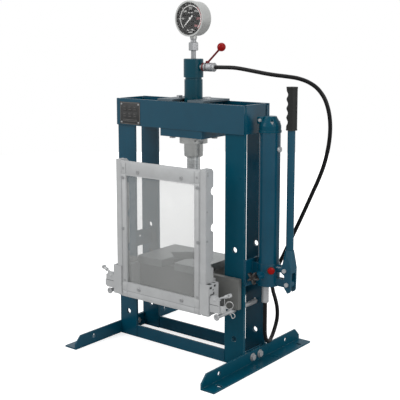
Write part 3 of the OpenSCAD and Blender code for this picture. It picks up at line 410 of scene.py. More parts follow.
red_dark = moulded("red rod", (0.12, 0.002, 0.005), 0.30, Specular_IOR_Level=0.30)
black_plastic = moulded("black knob", (0.010, 0.007, 0.006), 0.26, Specular_IOR_Level=0.55)
# Paler than the knob: a painted highlight along the knob's ridges.
knob_ridge_highlight = moulded("knob ridges painted light as highlight", (0.040, 0.042, 0.041), 0.40)
hose_rubber = moulded("hose rubber", (0.006, 0.006, 0.0065), 0.34, fine=1500.0, depth=0.00005,
                      Specular_IOR_Level=0.18)
grip_rubber = moulded("grip rubber", (0.010, 0.011, 0.0105), 0.62, fine=1300.0, depth=0.00006,
                      Specular_IOR_Level=0.35)


def clear_finishes():
    """Gauge glass, and the guard's smoked panel that greys what is behind it."""
    glass, _, _ = new_finish("gauge glass", Base_Color=(1, 1, 1, 1), Roughness=0.02, IOR=1.38,
                             Transmission_Weight=1.0)
    panel, tree, shader = new_finish("smoked panel", Roughness=0.18, IOR=1.49)
    grain = place(tree, GRAIN, Fine=300.0, Broad=6.0)
    tint = blend_colours(tree, spread(tree, grain.outputs["Broad Mask"], 0.0, 1.0), (0.40, 0.41, 0.405),
                         (0.44, 0.45, 0.445))
    tree.links.new(tint, shader.inputs["Base Color"])
    tree.links.new(spread(tree, grain.outputs["Broad Mask"], 0.37, 0.40), shader.inputs["Alpha"])
    return glass, panel


gauge_glass, smoked_panel = clear_finishes()


# Hose

HOSE_ROUTE = [
    (89, 9.5, 817.5), (118, 9.5, 818), (158, 11.7, 817.3), (212, 17, 810), (244, 21, 805), (276, 26, 801),
    (308, 32, 798), (338, 38, 794), (366, 44, 785), (390, 51, 769), (408, 58, 743), (417, 65, 710),
    (419, 71, 674), (415, 76, 636), (406, 81, 598), (393, 86, 560), (376, 90, 522), (357, 93, 484),
    (319, 98, 408), (281, 100, 332), (262, 101, 294), (244, 101, 259), (230, 101, 228), (225, 101, 203),
    (229, 101, 182), (236, 101, 163), (242, 101, 142), (244, 101.5, 121), (242, 102, 101), (240, 98, 83.5),
    (240.5, 88.4, 68.6), (243.5, 73.6, 57.9), (249, 56, 53.7), (254.5, 38, 57.4), (259, 23, 68),
    (262, 13, 83.5), (263, 9.5, 102), (263, 9.5, 126), (263, 9.5, 152), (263, 9.5, 179),
]
hose = tube_curve("pressure_hose", smooth_route([point(*p) for p in HOSE_ROUTE], 6), 5.5 * MM, hose_rubber, "root")
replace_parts(hose, "hose")


# Gauge dial

def dial_point(radius, turn, lift):
    """A place on the dial, with the turn in degrees clockwise from its top."""
    a = math.radians(turn)
    return (GAUGE + Vector((radius * math.sin(a), -lift, radius * math.cos(a)))) * MM


def dial_strip(bm, inner, outer, start, end, steps=1):
    """Adds a printed band of the dial between two radii and two turns."""
    rows = []
    for i in range(steps + 1):
        turn = start + (end - start) * i / steps
        rows.append([bm.verts.new(dial_point(r, turn, h)) for r, h in
                     ((inner, -0.05), (inner, 0.12), (outer, 0.12), (outer, -0.05))])
    skin(bm, rows)
    bm.faces.new(rows[0])
    bm.faces.new(rows[-1][::-1])


def lettering(bm, text, size, centre):
    """Adds plain figures on the dial, centred on a place."""
    curve = bpy.data.curves.new("figures", "FONT")
    curve.body = text
    curve.size = size * MM
    curve.extrude = 0.06 * MM
    curve.resolution_u = 2
    curve.align_x, curve.align_y = "CENTER", "CENTER"
    drawn = bpy.data.objects.new("figures", curve)
    bpy.context.scene.collection.objects.link(drawn)
    bpy.context.view_layer.update()
    mesh = bpy.data.meshes.new_from_object(drawn.evaluated_get(bpy.context.evaluated_depsgraph_get()))
    bpy.data.objects.remove(drawn)
    mesh.transform(Matrix.Translation(centre) @ Matrix.Rotation(math.pi / 2, 4, "X"))
    bm.from_mesh(mesh)
    bpy.data.meshes.remove(mesh)


def dial_print():
    """The pressure scale: a ring, its marks, figures inside it, small figures outside it and a red end."""
    white, red = bmesh.new(), bmesh.new()
    first, last = -135, 135
    dial_strip(white, 34.6, 36.4, first, last, 60)
    for i in range(61):
        turn = first + 4.5 * i
        half, outer = (1.0, 40.0) if i % 10 == 0 else (0.5, 38.6)
        dial_strip(white if i < 38 else red, 36.3, outer, turn - half, turn + half)
    for count, step, white_ones, unit, size, radius in ((7, 45, 5, 100, 8.0, 28.0), (13, 22.5, 9, 5, 4.6, 42.6)):
        for i in range(count):
            lettering(white if i < white_ones else red, str(unit * i), size,
                      dial_point(radius, first + step * i, 0.12))
    lettering(white, "bar / MPa", 7.0, dial_point(31.5, 180, 0.12))
    for x0, x1, z in ((-7.5, 7.5, -38.0), (-9.0, -2.0, 15.5), (2.0, 9.0, 15.5)):
        block(white, GAUGE + Vector((x0, -0.12, z)), GAUGE + Vector((x1, 0.05, z + 1.5)))
    dial_strip(red, 36.4, 38.8, 36, last, 24)
    mesh_piece("dial_print_white", white, dial_white, "root")
    mesh_piece("dial_print_red", red, dial_red, "root")


dial_print()


def gauge_rim():
    """A rolled bright rim round the glass."""
    bm = bmesh.new()
    turned(bm, [(46.4, 2.2), (46.6, 0.9), (47.6, 0.2), (48.4, 0.0), (49.2, 0.5), (49.5, 1.4), (49.5, 7.0),
                (49.2, 7.6), (48.4, 7.9), (47.4, 8.0)], point(RAM_X, -12, GAUGE.z), (0, 1, 0), 96)
    mesh_piece("gauge_rim", bm, stainless, "root")


gauge_rim()


# Coupler, gauge stem, valve lever, pump details and hose end

def coupler():
    """Nipple, swivel collars, a knurled sleeve and a red seal on the hose's upper end."""
    port_x, port_z = 35.5, 817.5
    port = point(port_x, AXIS_Y, port_z)
    bm = bmesh.new()
    turned(bm, [(0, 0), (7.5, 0), (7.5, 12.5), (9.4, 13.2), (11.2, 14.2), (11.2, 15), (8.5, 15), (8.5, 17.4),
                (11.0, 17.4), (12.3, 18.4), (12.4, 20.8), (11.3, 21.8), (9.2, 22.2), (9.2, 23.6), (11.2, 24.2),
                (11.2, 25.0), (0, 25.0)], port, (1, 0, 0), 48)
    turned(bm, [(0, 46.5), (10.0, 46.5), (11.6, 47.2), (12.5, 48.6), (12.5, 50.2), (11.4, 51.4), (9.0, 52.6),
                (7.2, 53.5), (0, 53.5)], port, (1, 0, 0), 48)
    piece = mesh_piece("coupler_collars", bm, zinc, "root")
    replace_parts(piece, "hose_coupler")
    bm = bmesh.new()
    rows, sides = [], 60
    for k in range(9):
        x = port_x + (25.0 + k * 21.5 / 8)
        row = []
        for i in range(sides):
            radius = 11.9 + (0.45 if (i + k) % 3 == 0 else -0.25)
            if k in (0, 8):
                radius = 10.8
            a = 2 * math.pi * i / sides
            row.append(bm.verts.new(point(x, AXIS_Y + radius * math.cos(a), port_z + radius * math.sin(a))))
        rows.append(row)
    skin(bm, rows)
    mesh_piece("coupler_sleeve", bm, zinc_dull, "root", 18.0)
    bm = bmesh.new()
    turned(bm, [(8.4, 0), (11.2, 0.3), (12.0, 1.2), (12.0, 4.6), (11.2, 5.5), (8.4, 5.8)],
           point(47.2, AXIS_Y, port_z), (1, 0, 0), 48)
    mesh_piece("coupler_seal", bm, red_dark, "root")


coupler()


def stem():
    """The gauge's stem: a plain shank, a chamfered hexagon and a neck that widens into the case."""
    bm = bmesh.new()
    base = point(RAM_X, AXIS_Y, 840)
    turned(bm, [(0, -10), (5, -10), (5, -0.2), (7.0, -0.2), (7.0, 23.5), (0, 23.5)], base, (0, 0, 1), 48)
    turned(bm, [(0, 44), (8.6, 44), (9.0, 46), (8.2, 48.5), (7.6, 50), (7.6, 52), (8.6, 53.2), (8.6, 56), (0, 56)],
           base, (0, 0, 1), 48)
    corners = [(math.cos(math.pi * i / 3), math.sin(math.pi * i / 3)) for i in range(6)]
    rows = [[bm.verts.new(base + point(radius * x, radius * y, z)) for x, y in corners]
            for radius, z in ((12.9, 22.6), (14.4, 24.0), (14.4, 44.0), (12.9, 45.4))]
    skin(bm, rows)
    bm.faces.new(rows[0][::-1])
    bm.faces.new(rows[-1])
    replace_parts(mesh_piece("gauge_stem_turned", bm, zinc, "root"), "gauge_stem")


stem()


def valve():
    """The coupler's lever: a foot, a thin rod and a ball knob."""
    foot, tip = point(62, AXIS_Y, 829.5), point(110, AXIS_Y, 873.3)
    run = (tip - foot).normalized()
    bm = bmesh.new()
    turned(bm, [(0, -1.5), (4.6, -1.5), (5.6, -0.8), (5.6, 3.6), (4.8, 4.6), (3.2, 5.4), (0, 5.4)],
           foot, (0, 0, 1), 32)
    turned(bm, [(0, 2.0), (3.0, 2.0), (3.0, 6.0), (2.8, 8.0), (2.8, 52.0), (3.6, 55.5), (0, 55.5)], foot, run, 24)
    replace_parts(mesh_piece("valve_rod", bm, red_dark, "valve"), "valve_lever")
    bm = bmesh.new()
    arc = [(12 * math.cos(math.radians(a)), 12 * math.sin(math.radians(a))) for a in range(-78, 90, 12)]
    turned(bm, [(0, -12.6), (4.0, -12.6)] + arc + [(0, 12)], tip, run, 48)
    mesh_piece("valve_ball", bm, red_plastic, "valve", 60.0)


valve()


def relief_cap_shade_ring():
    """A dark ring round the foot of the relief valve's cap, painted as the shade around it."""
    out = Vector((math.sqrt(0.5), -math.sqrt(0.5), 0))
    seat = (Vector((PUMP_X, AXIS_Y, 279.5)) + out * 33.0) * MM
    bm = bmesh.new()
    turned(bm, [(9.0, -1.0), (10.6, -1.0), (11.3, -0.3), (11.3, 0.9), (10.6, 1.5), (9.0, 1.5)], seat, out, 40)
    mesh_piece("relief_cap_shade_ring", bm, dark_plate_and_shade, "root")


relief_cap_shade_ring()


def pump_ear():
    """A lug with its bolt on the pump's cap, and a band round the cap's lower edge."""
    ear, screw = bmesh.new(), bmesh.new()
    block(ear, (243.5, -12.0, 672.0), (262.0, 4.0, 691.5), 3.0, 3)
    turned(ear, [(27.0, 0), (30.4, 0), (30.8, 0.5), (30.8, 5.5), (30.4, 6.0), (27.0, 6.0)],
           point(PUMP_X, AXIS_Y, 650.0), (0, 0, 1), 72)
    turned(screw, [(0, -0.5), (4.9, -0.5), (4.9, 0.6), (4.1, 0.7), (4.1, 4.0), (3.6, 4.6), (0, 4.6)],
           point(254.5, -12.0, 682.5), (0, -1, 0), 6)
    # The lug takes the frame paint's copy that is matched to the light on the pump's side.
    mesh_piece("pump_ear", ear, right_side_light_paint, "root")
    mesh_piece("pump_ear_bolt", screw, zinc_bright, "root")


pump_ear()


def star_knob():
    """The release knob: a hub on its stem, and a star with five narrow arms, each with a ridge painted lighter as a
    highlight.
    """
    star, ridges = bmesh.new(), bmesh.new()
    cx, cz = 270, 265
    arms, first_arm, count = 5, 68, 100
    turned(star, [(0, 0), (8, 0), (8, 4.2), (0, 4.2)], point(cx, -50.3, cz), (0, -1, 0), 40)
    turned(star, [(0, 0), (5, 0), (5, 27), (0, 27)], point(cx, -24.1, cz), (0, -1, 0), 32)
    rows = []
    for y, grown in ((-54.3, -0.8), (-55.1, 0.0), (-64.9, 0.0), (-66.0, -1.0)):
        row = []
        for i in range(count):
            a = 2 * math.pi * i / count
            swell = 0.5 + 0.5 * math.cos(arms * (a - math.radians(first_arm)))
            radius = 8.6 + 9.2 * swell ** 1.4 + grown
            row.append(star.verts.new(point(cx + radius * math.cos(a), y, cz + radius * math.sin(a))))
        rows.append(row)
    skin(star, rows)
    star.faces.new(rows[0])
    star.faces.new(rows[-1][::-1])
    for i in range(arms):
        a = math.radians(first_arm + i * 360 / arms)
        turned(ridges, [(0, 0), (1.3, 0.6), (1.7, 3.0), (1.9, 9.0), (1.4, 11.4), (0, 12.2)],
               point(cx + 4 * math.cos(a), -65.6, cz + 4 * math.sin(a)),
               (math.cos(a), 0, math.sin(a)), 16)
    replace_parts(mesh_piece("release_star", star, black_plastic, "knob"), "release_knob")
    mesh_piece("release_star_ridges", ridges, knob_ridge_highlight, "knob", 60.0)


star_knob()


def hose_end():
    """The hose's lower end: a swivel nut and a crimped sleeve."""
    bm = bmesh.new()
    base = point(263, AXIS_Y, 179)
    sleeve = [(0, 0), (6.4, 0), (8.6, 0.8), (9.6, 1.8)]
    for k in range(5):
        low = 2.5 + k * 7.0
        sleeve += [(9.9, low), (9.9, low + 4.6), (9.3, low + 5.3), (9.3, low + 6.3)]
    sleeve += [(9.9, 38.0), (9.9, 45.0), (9.2, 46.0), (7.4, 46.6), (7.4, 48.4), (0, 48.4)]
    turned(bm, sleeve, base, (0, 0, 1), 56)
    turned(bm, [(0, 48.4), (8.6, 48.4), (9.6, 49.4), (9.6, 62.2), (8.6, 63.4), (0, 63.4)], base, (0, 0, 1), 6)
    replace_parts(mesh_piece("hose_end", bm, zinc_bright, "root"), "hose_fitting")


hose_end()


# Rating plate, bed pins, clips and grip

def rating_plate():
    """A blank dark plate with a raised border and empty fields, held by four rivets."""
    bm, pale = bmesh.new(), bmesh.new()
    front = -52.0
    block(bm, (-216, front - 0.1, 646.5), (-137, front + 0.6, 712.5), 0.3)
    for lift, (x0, z0), (x1, z1) in (
        (0.3, (-214.5, 709.6), (-138.5, 710.9)), (0.3, (-214.5, 648), (-138.5, 649.3)),
        (0.3, (-214.5, 648), (-213.2, 710.9)), (0.3, (-139.8, 648), (-138.5, 710.9)),
        (0.25, (-205, 656), (-148, 657)), (0.25, (-205, 660), (-148, 661)),
    ):
        block(pale, (x0, front - lift, z0), (x1, front, z1))
    for column in range(3):
        for row in range(2):
            x, z = -205 + column * 20, 666 + row * 20
            block(bm, (x, front - 0.4, z), (x + 16.5, front, z + 16.5), 0.2)
            block(pale, (x + 3, front - 0.55, z + 4), (x + 13.5, front - 0.3, z + 5))
            block(pale, (x + 3, front - 0.55, z + 11), (x + 10, front - 0.3, z + 12))
    mesh_piece("rating_plate", bm, dark_plate_and_shade, "root")
    mesh_piece("rating_plate_lines", pale, plate_pale, "root")
    bm = bmesh.new()
    for x in (-209.5, -143.5):
        for z in (653, 705.5):
            turned(bm, [(0, 1.5), (1.6, 1.35), (2.6, 0.9), (3.0, 0.1), (3.0, -0.2)],
                   point(x, front - 0.1, z), (0, -1, 0), 16)
    mesh_piece("rating_plate_rivets", bm, zinc, "root", 60.0)


rating_plate()


def pin_clip(side, hand):
    """A sprung wire clip: a ring above the pin, a shank through it and a loop that hangs below."""
    name, body = hand + "_clip", hand + "_pin"
    turn = math.radians(38)
    sine, cosine = math.sin(turn), math.cos(turn)
    ring, ring_y, ring_z = 10.4, -67.6, 176.4
    line = [point(side * PIN_X, -66, 149.0 + 3.5 * k) for k in range(5)]
    for k in range(29):
        a = math.radians(-90 + 13.5 * k)
        line.append(point(side * PIN_X + ring * math.cos(a) * cosine, ring_y + ring * math.cos(a) * sine,
                          ring_z + ring * math.sin(a)))
    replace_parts(tube_curve(name, line, 1.35 * MM, wire, body, 3), hand + "_pin_clip")
    loop = [(-1, 161), (5.0, 158.5), (11.0, 155.5), (15.5, 151.5), (16.6, 147), (14.0, 143.4), (10.5, 141.2),
            (7.8, 142.0), (6.0, 146), (3.4, 152), (-0.4, 156)]
    route = smooth_route([point(side * PIN_X + 2 + dx * cosine, -69.0 + dx * sine * 0.7, z)
                          for dx, z in loop + loop[:1]], 3)
    tube_curve(name + "_loop", route[:-1], 1.25 * MM, wire, body, 3, closed=True)


for side, hand in PAIR:
    pin_clip(side, hand)


def bed_pin(side, hand):
    """A pin with a dished head in front, a grooved neck, a slimmer front shank and a chamfered tail."""
    bm = bmesh.new()
    turned(bm, [(0, 2.4), (3.6, 2.4), (4.6, 0.5), (6.4, 0.0), (8.2, 0.5), (9.0, 1.6), (9.0, 3.8), (8.4, 4.7),
                (7.0, 5.0), (5.6, 6.2), (5.6, 58.0), (7.0, 60.0), (7.0, 205.0), (5.4, 208.0), (0, 208.0)],
           point(side * PIN_X, -128, 158.2), (0, 1, 0), 40)
    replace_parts(mesh_piece(hand + "_pin_turned", bm, zinc_bright, hand + "_pin"), hand + "_bed_pin")


for side, hand in PAIR:
    bed_pin(side, hand)


def grip():
    """A rubber grip with four finger hollows, a seam on each side, fine ribs between and an end rim."""
    bm = bmesh.new()
    sides, rows = 72, []
    cx, low, high = 339.5, 660, 773
    hollows_low, hollows_high, pitch = 669, 765, 24.0
    for k in range(high - low + 1):
        z = low + k
        ridge = 0.0
        if hollows_low < z < hollows_high:
            ridge = 0.5 - 0.5 * math.cos(2 * math.pi * (z - hollows_low) / pitch)
        rim = 0.6 if z < low + 3 or z > high - 5 else 0.0
        row = []
        for i in range(sides):
            a = 2 * math.pi * i / sides
            facing = max(0.0, -math.cos(a)) ** 0.8
            radius = 14.4 + rim - 4.6 * ridge * facing
            if abs(math.sin(a)) > 0.996 and not rim:
                radius -= 0.8
            elif facing > 0.3 and not rim and k % 6 == 0:
                radius -= 0.25
            row.append(bm.verts.new(point(cx + radius * math.cos(a), AXIS_Y + radius * math.sin(a), z)))
        rows.append(row)
    end = 13.4
    rows.append([bm.verts.new(point(cx + end * math.cos(a), AXIS_Y + end * math.sin(a), high))
                 for a in (2 * math.pi * i / sides for i in range(sides))])
    skin(bm, rows)
    bm.faces.new(rows[0][::-1])
    bm.faces.new(rows[-1])
    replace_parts(mesh_piece("grip", bm, grip_rubber, "handle", 30.0), "handle_grip")


grip()


# Guard

SEAM_W = 1.2


def seam_low(x, y, z):
    """The lower corner of an upright seam. On the left it reaches a seam's width further out."""
    return (x if x > 0 else x - SEAM_W, y, z)


def seam_high(x, y, z):
    """The upper corner of an upright seam. On the left it stops a seam's width further in."""
    return (x if x > 0 else x + SEAM_W, y, z)


def guard_details():
    """Rails, corner plates, seams and screws on the guard's frame."""
    rails, seams, screws = bmesh.new(), bmesh.new(), bmesh.new()
    front = GUARD_FRONT
    block(rails, (-143.6, front - 0.6, 515.6), (143.6, front + 0.2, 552.6), 0.3)
    block(rails, (-143.6, front - 0.9, 154.4), (143.6, front + 0.2, 170), 0.4)
    for side in (-1, 1):
        low, high = sorted((side * 125.5, side * 141.2))
        block(rails, (low, front - 0.7, 190), (high, front + 0.2, 512), 0.4)
        for z0, z1 in ((500, 515), (172.6, 196)):
            block(rails, (low - 1.2, front - 1.0, z0), (high + 0.6, front + 0.2, z1), 0.4)
        for z0, z1 in ((158, 171.5), (516.5, 547)):
            block(rails, (low, front - 1.0, z0), (high, front + 0.2, z1), 0.4)
            block(seams, seam_low(side * 124.0, front - 0.95, z0), seam_high(side * 125.2, front + 0.2, z1))
            block(seams, seam_low(side * 140.6, front - 1.05, z0), seam_high(side * 141.6, front + 0.2, z1))
        block(seams, seam_low(side * 139.4, front - 0.85, 196), seam_high(side * 140.4, front + 0.2, 500))
        block(seams, seam_low(side * 141.6, front - 0.25, 156), seam_high(side * 143.4, front + 0.2, 551))
        for z in (203, 503, 531):
            turned(screws, [(0, 1.3), (2.2, 1.3), (2.6, 1.8), (3.2, 1.8), (3.6, 1.5), (3.6, 0)],
                   point(side * 133.4, front, z), (0, -1, 0), 20)
    block(seams, (-123, front - 0.2, 171.2), (123, front + 0.2, 172.4))
    for x in (-79, 79):
        for z in (183, 524):
            turned(screws, [(0, 1.6), (2.4, 1.6), (2.9, 2.9), (5.0, 2.9), (5.8, 2.3), (6.0, 1.2), (6.0, 0)],
                   point(x, front + 0.2, z), (0, -1, 0), 28)
    mesh_piece("guard_rails", rails, guard_aluminium, "guard")
    mesh_piece("guard_seams", seams, seam_soft, "guard")
    mesh_piece("guard_screw_heads", screws, screw_grey, "guard")


guard_details()


def rack_details():
    """Screw heads on the racks' outer sides, and dark blocks on the guides' outer sides and tops, painted as the
    shade where slots stand.
    """
    dark, heads = bmesh.new(), bmesh.new()
    rack_out, guide_out, guide_top = 162.5, 175.0, 242.6
    for side in (-1, 1):
        for y, z in ((-119, 545), (-119, 538), (-122, 360), (-122, 440)):
            turned(heads, [(0, 0.7), (1.1, 0.7), (1.5, 1.1), (2.4, 1.0), (2.8, 0.4), (2.8, -0.4)],
                   point(side * rack_out, y, z), (side, 0, 0), 18)
    mesh_piece("rack_screws", heads, screw_grey, "guard")
    # Dark blocks painted as the shade inside the guides' slots.
    for side in (-1, 1):
        low, high = sorted((side * guide_out - side * 0.3, side * guide_out + side * 0.25))
        for (y0, y1), (z0, z1) in (((-127, -117), (231, 237)), ((-124, -106), (213.0, 216.5)),
                                   ((-111, -106), (216.0, 221)), ((-113, -109), (225, 229)),
                                   ((-128, -119), (192, 194)), ((-108, -100), (234, 240))):
            block(dark, (low, y0, z0), (high, y1, z1), 0.2)
        for (x0, x1), (y0, y1) in (((163, 173), (-126, -112)), ((164, 172), (-102, -95))):
            low, high = sorted((side * x0, side * x1))
            block(dark, (low, y0, guide_top), (high, y1, 243.3), 0.2)
    mesh_piece("guide_slot_shade", dark, dark_seam_and_shade, "bed")


rack_details()


def latch_details(side, hand):
    """A seam and a screw on the latch, a wire and a sleeve on its lever, and a stop whose recess is painted as shade
    by a dark block.
    """
    name = hand + "_latch"
    plain, dark = bmesh.new(), bmesh.new()
    middle, stop_top, wire_y = side * 191.5, 191.4, -113.5
    lever = (-side * 0.911, 0, -0.412)
    block(dark, (middle - 15, GUARD_FRONT - 0.2, 191.0), (middle + 15, GUARD_FRONT + 0.2, 192.2))
    low, high = sorted((side * 207.3, side * 214.5))
    # A dark block painted as the shade in the stop's recess; the thin dark line above is a seam.
    block(dark, (low, -122.5, stop_top), (high, -108.0, 205.5), 0.8)
    turned(plain, [(1.0, 0), (1.0, 24)], point(side * 215.0, wire_y, 190.5), (0, 0, 1), 12)
    low, high = sorted((side * 205.5, side * 217.0))
    block(plain, (low, -124.0, 171.5), (high, -108.5, stop_top), 1.2)
    turned(plain, [(0, 1.2), (3.0, 1.2), (4.2, 0.8), (4.8, -0.2)], point(middle, GUARD_FRONT, 205.0), (0, -1, 0), 24)
    turned(plain, [(0, 3.0), (4.4, 3.0), (4.9, 3.6), (4.9, 15.4), (4.4, 16.0), (0, 16.0)],
           point(side * 232.0, wire_y, 222.0), lever, 28)
    mesh_piece(name + "_stop", plain, guard_aluminium, name)
    mesh_piece(name + "_recess_shade", dark, dark_seam_and_shade, name)


for side, hand in PAIR:
    latch_details(side, hand)


# Welds, and the washers and nuts of the feet

BEAD = 2.6      # length of one ripple of a weld


def weld(name, lines, radius, body, material):
    """Lumpy weld beads along straight lines, made of overlapping flattened rings."""
    bm = bmesh.new()
    for start, end in lines:
        start, end = Vector(start), Vector(end)
        run = end - start
        count = max(4, int(run.length / BEAD))
        profile = [(0, 0)]
        for i in range(count * 2 + 1):
            profile.append((radius * (1.0 if i % 2 else 0.80), i * run.length / (2 * count)))
        turned(bm, profile + [(0, run.length)], start * MM, run, 10)
    mesh_piece(name, bm, material, body, 60.0)


weld("frame_welds", [
    ((-165, -46.0, 643.6), (-230, -46.0, 643.6)), ((165, -46.0, 643.6), (230, -46.0, 643.6)),
    ((-164.6, -45.9, 1), (-164.6, -45.9, 36)), ((164.6, -45.9, 1), (164.6, -45.9, 36)),
    ((-230.0, -38.0, 40), (-230.0, -38.0, 44)), ((221.6, -37.0, 646), (221.6, -37.0, 716)),
    ((-221.6, -37.0, 646), (-221.6, -37.0, 716)), ((224.0, -37.0, 38.4), (224.0, 56.0, 38.4)),
    ((-224.0, -37.0, 38.4), (-224.0, 56.0, 38.4)),
], 1.5, "root", frame_paint)
weld("guide_welds", [
    ((152.6, -45.6, 176), (152.6, -45.6, 239)), ((-152.6, -45.6, 176), (-152.6, -45.6, 239)),
    ((152.6, 64.6, 176), (152.6, 64.6, 239)), ((-152.6, 64.6, 176), (-152.6, 64.6, 239)),
], 1.8, "bed", bed_paint)


def washers():
    """A washer under the head of each bolt of the feet, and a flanged nut on its inner end."""
    bm = bmesh.new()
    z = 20.5
    for side in (-1, 1):
        for y in (-8, 27):
            turned(bm, [(7, 0), (10.8, 0), (11.4, 0.5), (11.4, 1.3), (10.8, 1.8), (7, 1.8)],
                   point(side * 234.5, y, z), (side, 0, 0), 32)
            turned(bm, [(0, 0), (9.0, 0), (9.4, 0.4), (9.4, 1.4), (7.4, 1.8), (7.0, 5.5), (6.4, 6.0), (0, 6.0)],
                   point(side * 224.0, y, z), (-side, 0, 0), 32)
    mesh_piece("foot_washers", bm, zinc, "root")


washers()


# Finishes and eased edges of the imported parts

def ease_edges(name):
    """Takes the sharpness off a part's edges, as a file or its paint does."""
    part = NODES[name]
    mesh = part.data
    if "custom_normal" in mesh.attributes:
        mesh.attributes.remove(mesh.attributes["custom_normal"])
    mesh.polygons.foreach_set("use_smooth", [True] * len(mesh.polygons))
    merged = part.modifiers.new("weld", "WELD")
    merged.merge_threshold = 1e-6
    flat = part.modifiers.new("flat", "DECIMATE")
    flat.decimate_type = "DISSOLVE"
    flat.angle_limit = math.radians(0.5)
    eased = part.modifiers.new("eased edges", "BEVEL")
    eased.width = 0.8 * MM
    eased.segments = 2
    eased.limit_method = "ANGLE"
    eased.angle_limit = math.radians(32)
    eased.harden_normals = True


FINISHES = {
    frame_paint: "left_foot cross_members base_side_plates front_left_post "
                 "rear_left_post rear_right_post left_side_tie pump_mounting_plate head_front_plate "
                 "head_rear_plate head_end_plates head_ribs ram_bearing_plate",
    barrel_paint: "cylinder_barrel",
    # Right-hand frame parts and the pump's cap take the frame paint's copy that is matched to the light on that side.
    right_side_light_paint: "front_right_post right_foot pump_cap",
    pump_paint: "pump_base pump_tank handle_socket handle_tube",
    zinc: "pump_cap_bolts guard_screws",
    zinc_bright: "fulcrum_pin drive_pin frame_bolts filler_plug",
    zinc_clamp: "ram_clamp_plate pump_plunger",
    turned_steel: "lock_ring cylinder_gland return_spring",
    rod_steel: "ram_rod",
    stainless: "gauge_case",
    dial_face: "gauge_dial",
    needle_paint: "gauge_needle",
    gauge_glass: "gauge_glass",
    red_plastic: "relief_valve_cap",
    bed_paint: "bed_front_bar bed_rear_bar bed_guide_plates",
    press_steel: "left_press_plate right_press_plate",
    guard_aluminium: "guard_frame guard_racks guard_brackets left_guard_latch right_guard_latch",
    smoked_panel: "guard_panel",
}
for finish, names in FINISHES.items():
    for part_name in names.split():
        NODES[part_name].data.materials.clear()
        NODES[part_name].data.materials.append(finish)

for part_name in ("left_foot right_foot cross_members base_side_plates front_left_post front_right_post "
                  "rear_left_post rear_right_post left_side_tie pump_mounting_plate head_front_plate "
                  "head_rear_plate head_end_plates ram_bearing_plate ram_clamp_plate bed_front_bar bed_rear_bar "
                  "bed_guide_plates left_press_plate right_press_plate guard_brackets guard_racks guard_frame "
                  "left_guard_latch right_guard_latch frame_bolts handle_socket").split():
    ease_edges(part_name)


# Floor, backdrop and light

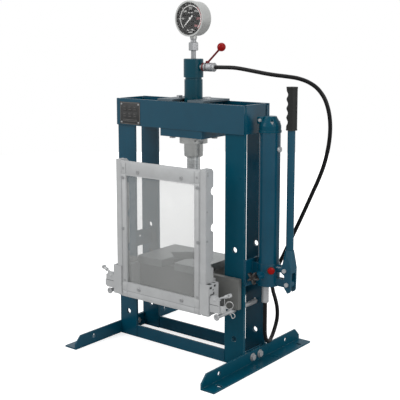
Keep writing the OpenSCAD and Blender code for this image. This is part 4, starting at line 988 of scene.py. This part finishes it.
def make_stage():
    """A pale floor that keeps the shadow, and soft light all round with two large lamps."""
    floor_finish = bpy.data.materials.new("floor")
    floor_finish.use_nodes = True
    tree = floor_finish.node_tree
    tree.nodes.clear()
    matt = node(tree, "ShaderNodeBsdfDiffuse")
    rays = node(tree, "ShaderNodeLightPath")
    toned = blend_colours(tree, rays.outputs["Is Glossy Ray"], (0.72, 0.72, 0.72), (0.38, 0.38, 0.38))
    tree.links.new(toned, matt.inputs["Color"])
    glow = node(tree, "ShaderNodeEmission", sockets={"Color": (1, 1, 1, 1)})
    seen = node(tree, "ShaderNodeMath", operation="MAXIMUM")
    tree.links.new(rays.outputs["Is Camera Ray"], seen.inputs[0])
    tree.links.new(rays.outputs["Is Transmission Ray"], seen.inputs[1])
    where = node(tree, "ShaderNodeTexCoord")
    far = node(tree, "ShaderNodeVectorMath", operation="LENGTH")
    tree.links.new(where.outputs["Object"], far.inputs[0])
    fade = spread(tree, far.outputs["Value"], 0.62, 1.0, start=0.5, end=2.2)
    scaled = node(tree, "ShaderNodeMath", operation="MULTIPLY")
    tree.links.new(fade, scaled.inputs[1])
    tree.links.new(seen.outputs[0], scaled.inputs[0])
    tree.links.new(scaled.outputs[0], glow.inputs["Strength"])
    both = node(tree, "ShaderNodeAddShader")
    tree.links.new(matt.outputs[0], both.inputs[0])
    tree.links.new(glow.outputs[0], both.inputs[1])
    tree.links.new(both.outputs[0], node(tree, "ShaderNodeOutputMaterial").inputs["Surface"])

    bm = bmesh.new()
    bmesh.ops.create_circle(bm, cap_ends=True, segments=96, radius=4.2)
    mesh = bpy.data.meshes.new("floor")
    bm.to_mesh(mesh)
    bm.free()
    mesh.materials.append(floor_finish)
    floor = bpy.data.objects.new("floor", mesh)
    bpy.context.scene.collection.objects.link(floor)

    world = bpy.data.worlds.new("studio")
    bpy.context.scene.world = world
    world.use_nodes = True
    tree = world.node_tree
    tree.nodes.clear()
    rays = node(tree, "ShaderNodeLightPath")
    direct = node(tree, "ShaderNodeMath", operation="MAXIMUM")
    tree.links.new(rays.outputs["Is Camera Ray"], direct.inputs[0])
    tree.links.new(rays.outputs["Is Transmission Ray"], direct.inputs[1])
    shown = node(tree, "ShaderNodeMath", operation="MAXIMUM")
    tree.links.new(direct.outputs[0], shown.inputs[0])
    mirrored = node(tree, "ShaderNodeMath", operation="MULTIPLY", sockets={1: 0.40})
    tree.links.new(rays.outputs["Is Glossy Ray"], mirrored.inputs[0])
    tree.links.new(mirrored.outputs[0], shown.inputs[1])
    strength = spread(tree, shown.outputs[0], 0.62, 1.0, start=0.0, end=1.0)
    sky = node(tree, "ShaderNodeBackground", sockets={"Color": (1, 1, 1, 1)})
    tree.links.new(strength, sky.inputs["Strength"])
    tree.links.new(sky.outputs[0], node(tree, "ShaderNodeOutputWorld").inputs["Surface"])

    for name, place_at, aim, power, size in (
        ("front left softbox", (-1.8, -2.6, 2.6), (0, 0, 0.5), 42.0, 1.8),
        ("right softbox", (3.0, -0.6, 1.6), (0, 0, 0.5), 30.0, 1.6),
        ("overhead softbox", (0.0, 0.4, 3.4), (0, 0.1, 0.5), 26.0, 2.2),
    ):
        data = bpy.data.lights.new(name, "AREA")
        data.energy = power
        data.size = size
        lamp = bpy.data.objects.new(name, data)
        lamp.location = place_at
        lamp.rotation_mode = "QUATERNION"
        lamp.rotation_quaternion = (Vector(aim) - Vector(place_at)).to_track_quat("-Z", "Y")
        bpy.context.scene.collection.objects.link(lamp)
    bpy.context.scene.view_settings.view_transform = "Standard"


make_stage()

bpy.context.view_layer.update()
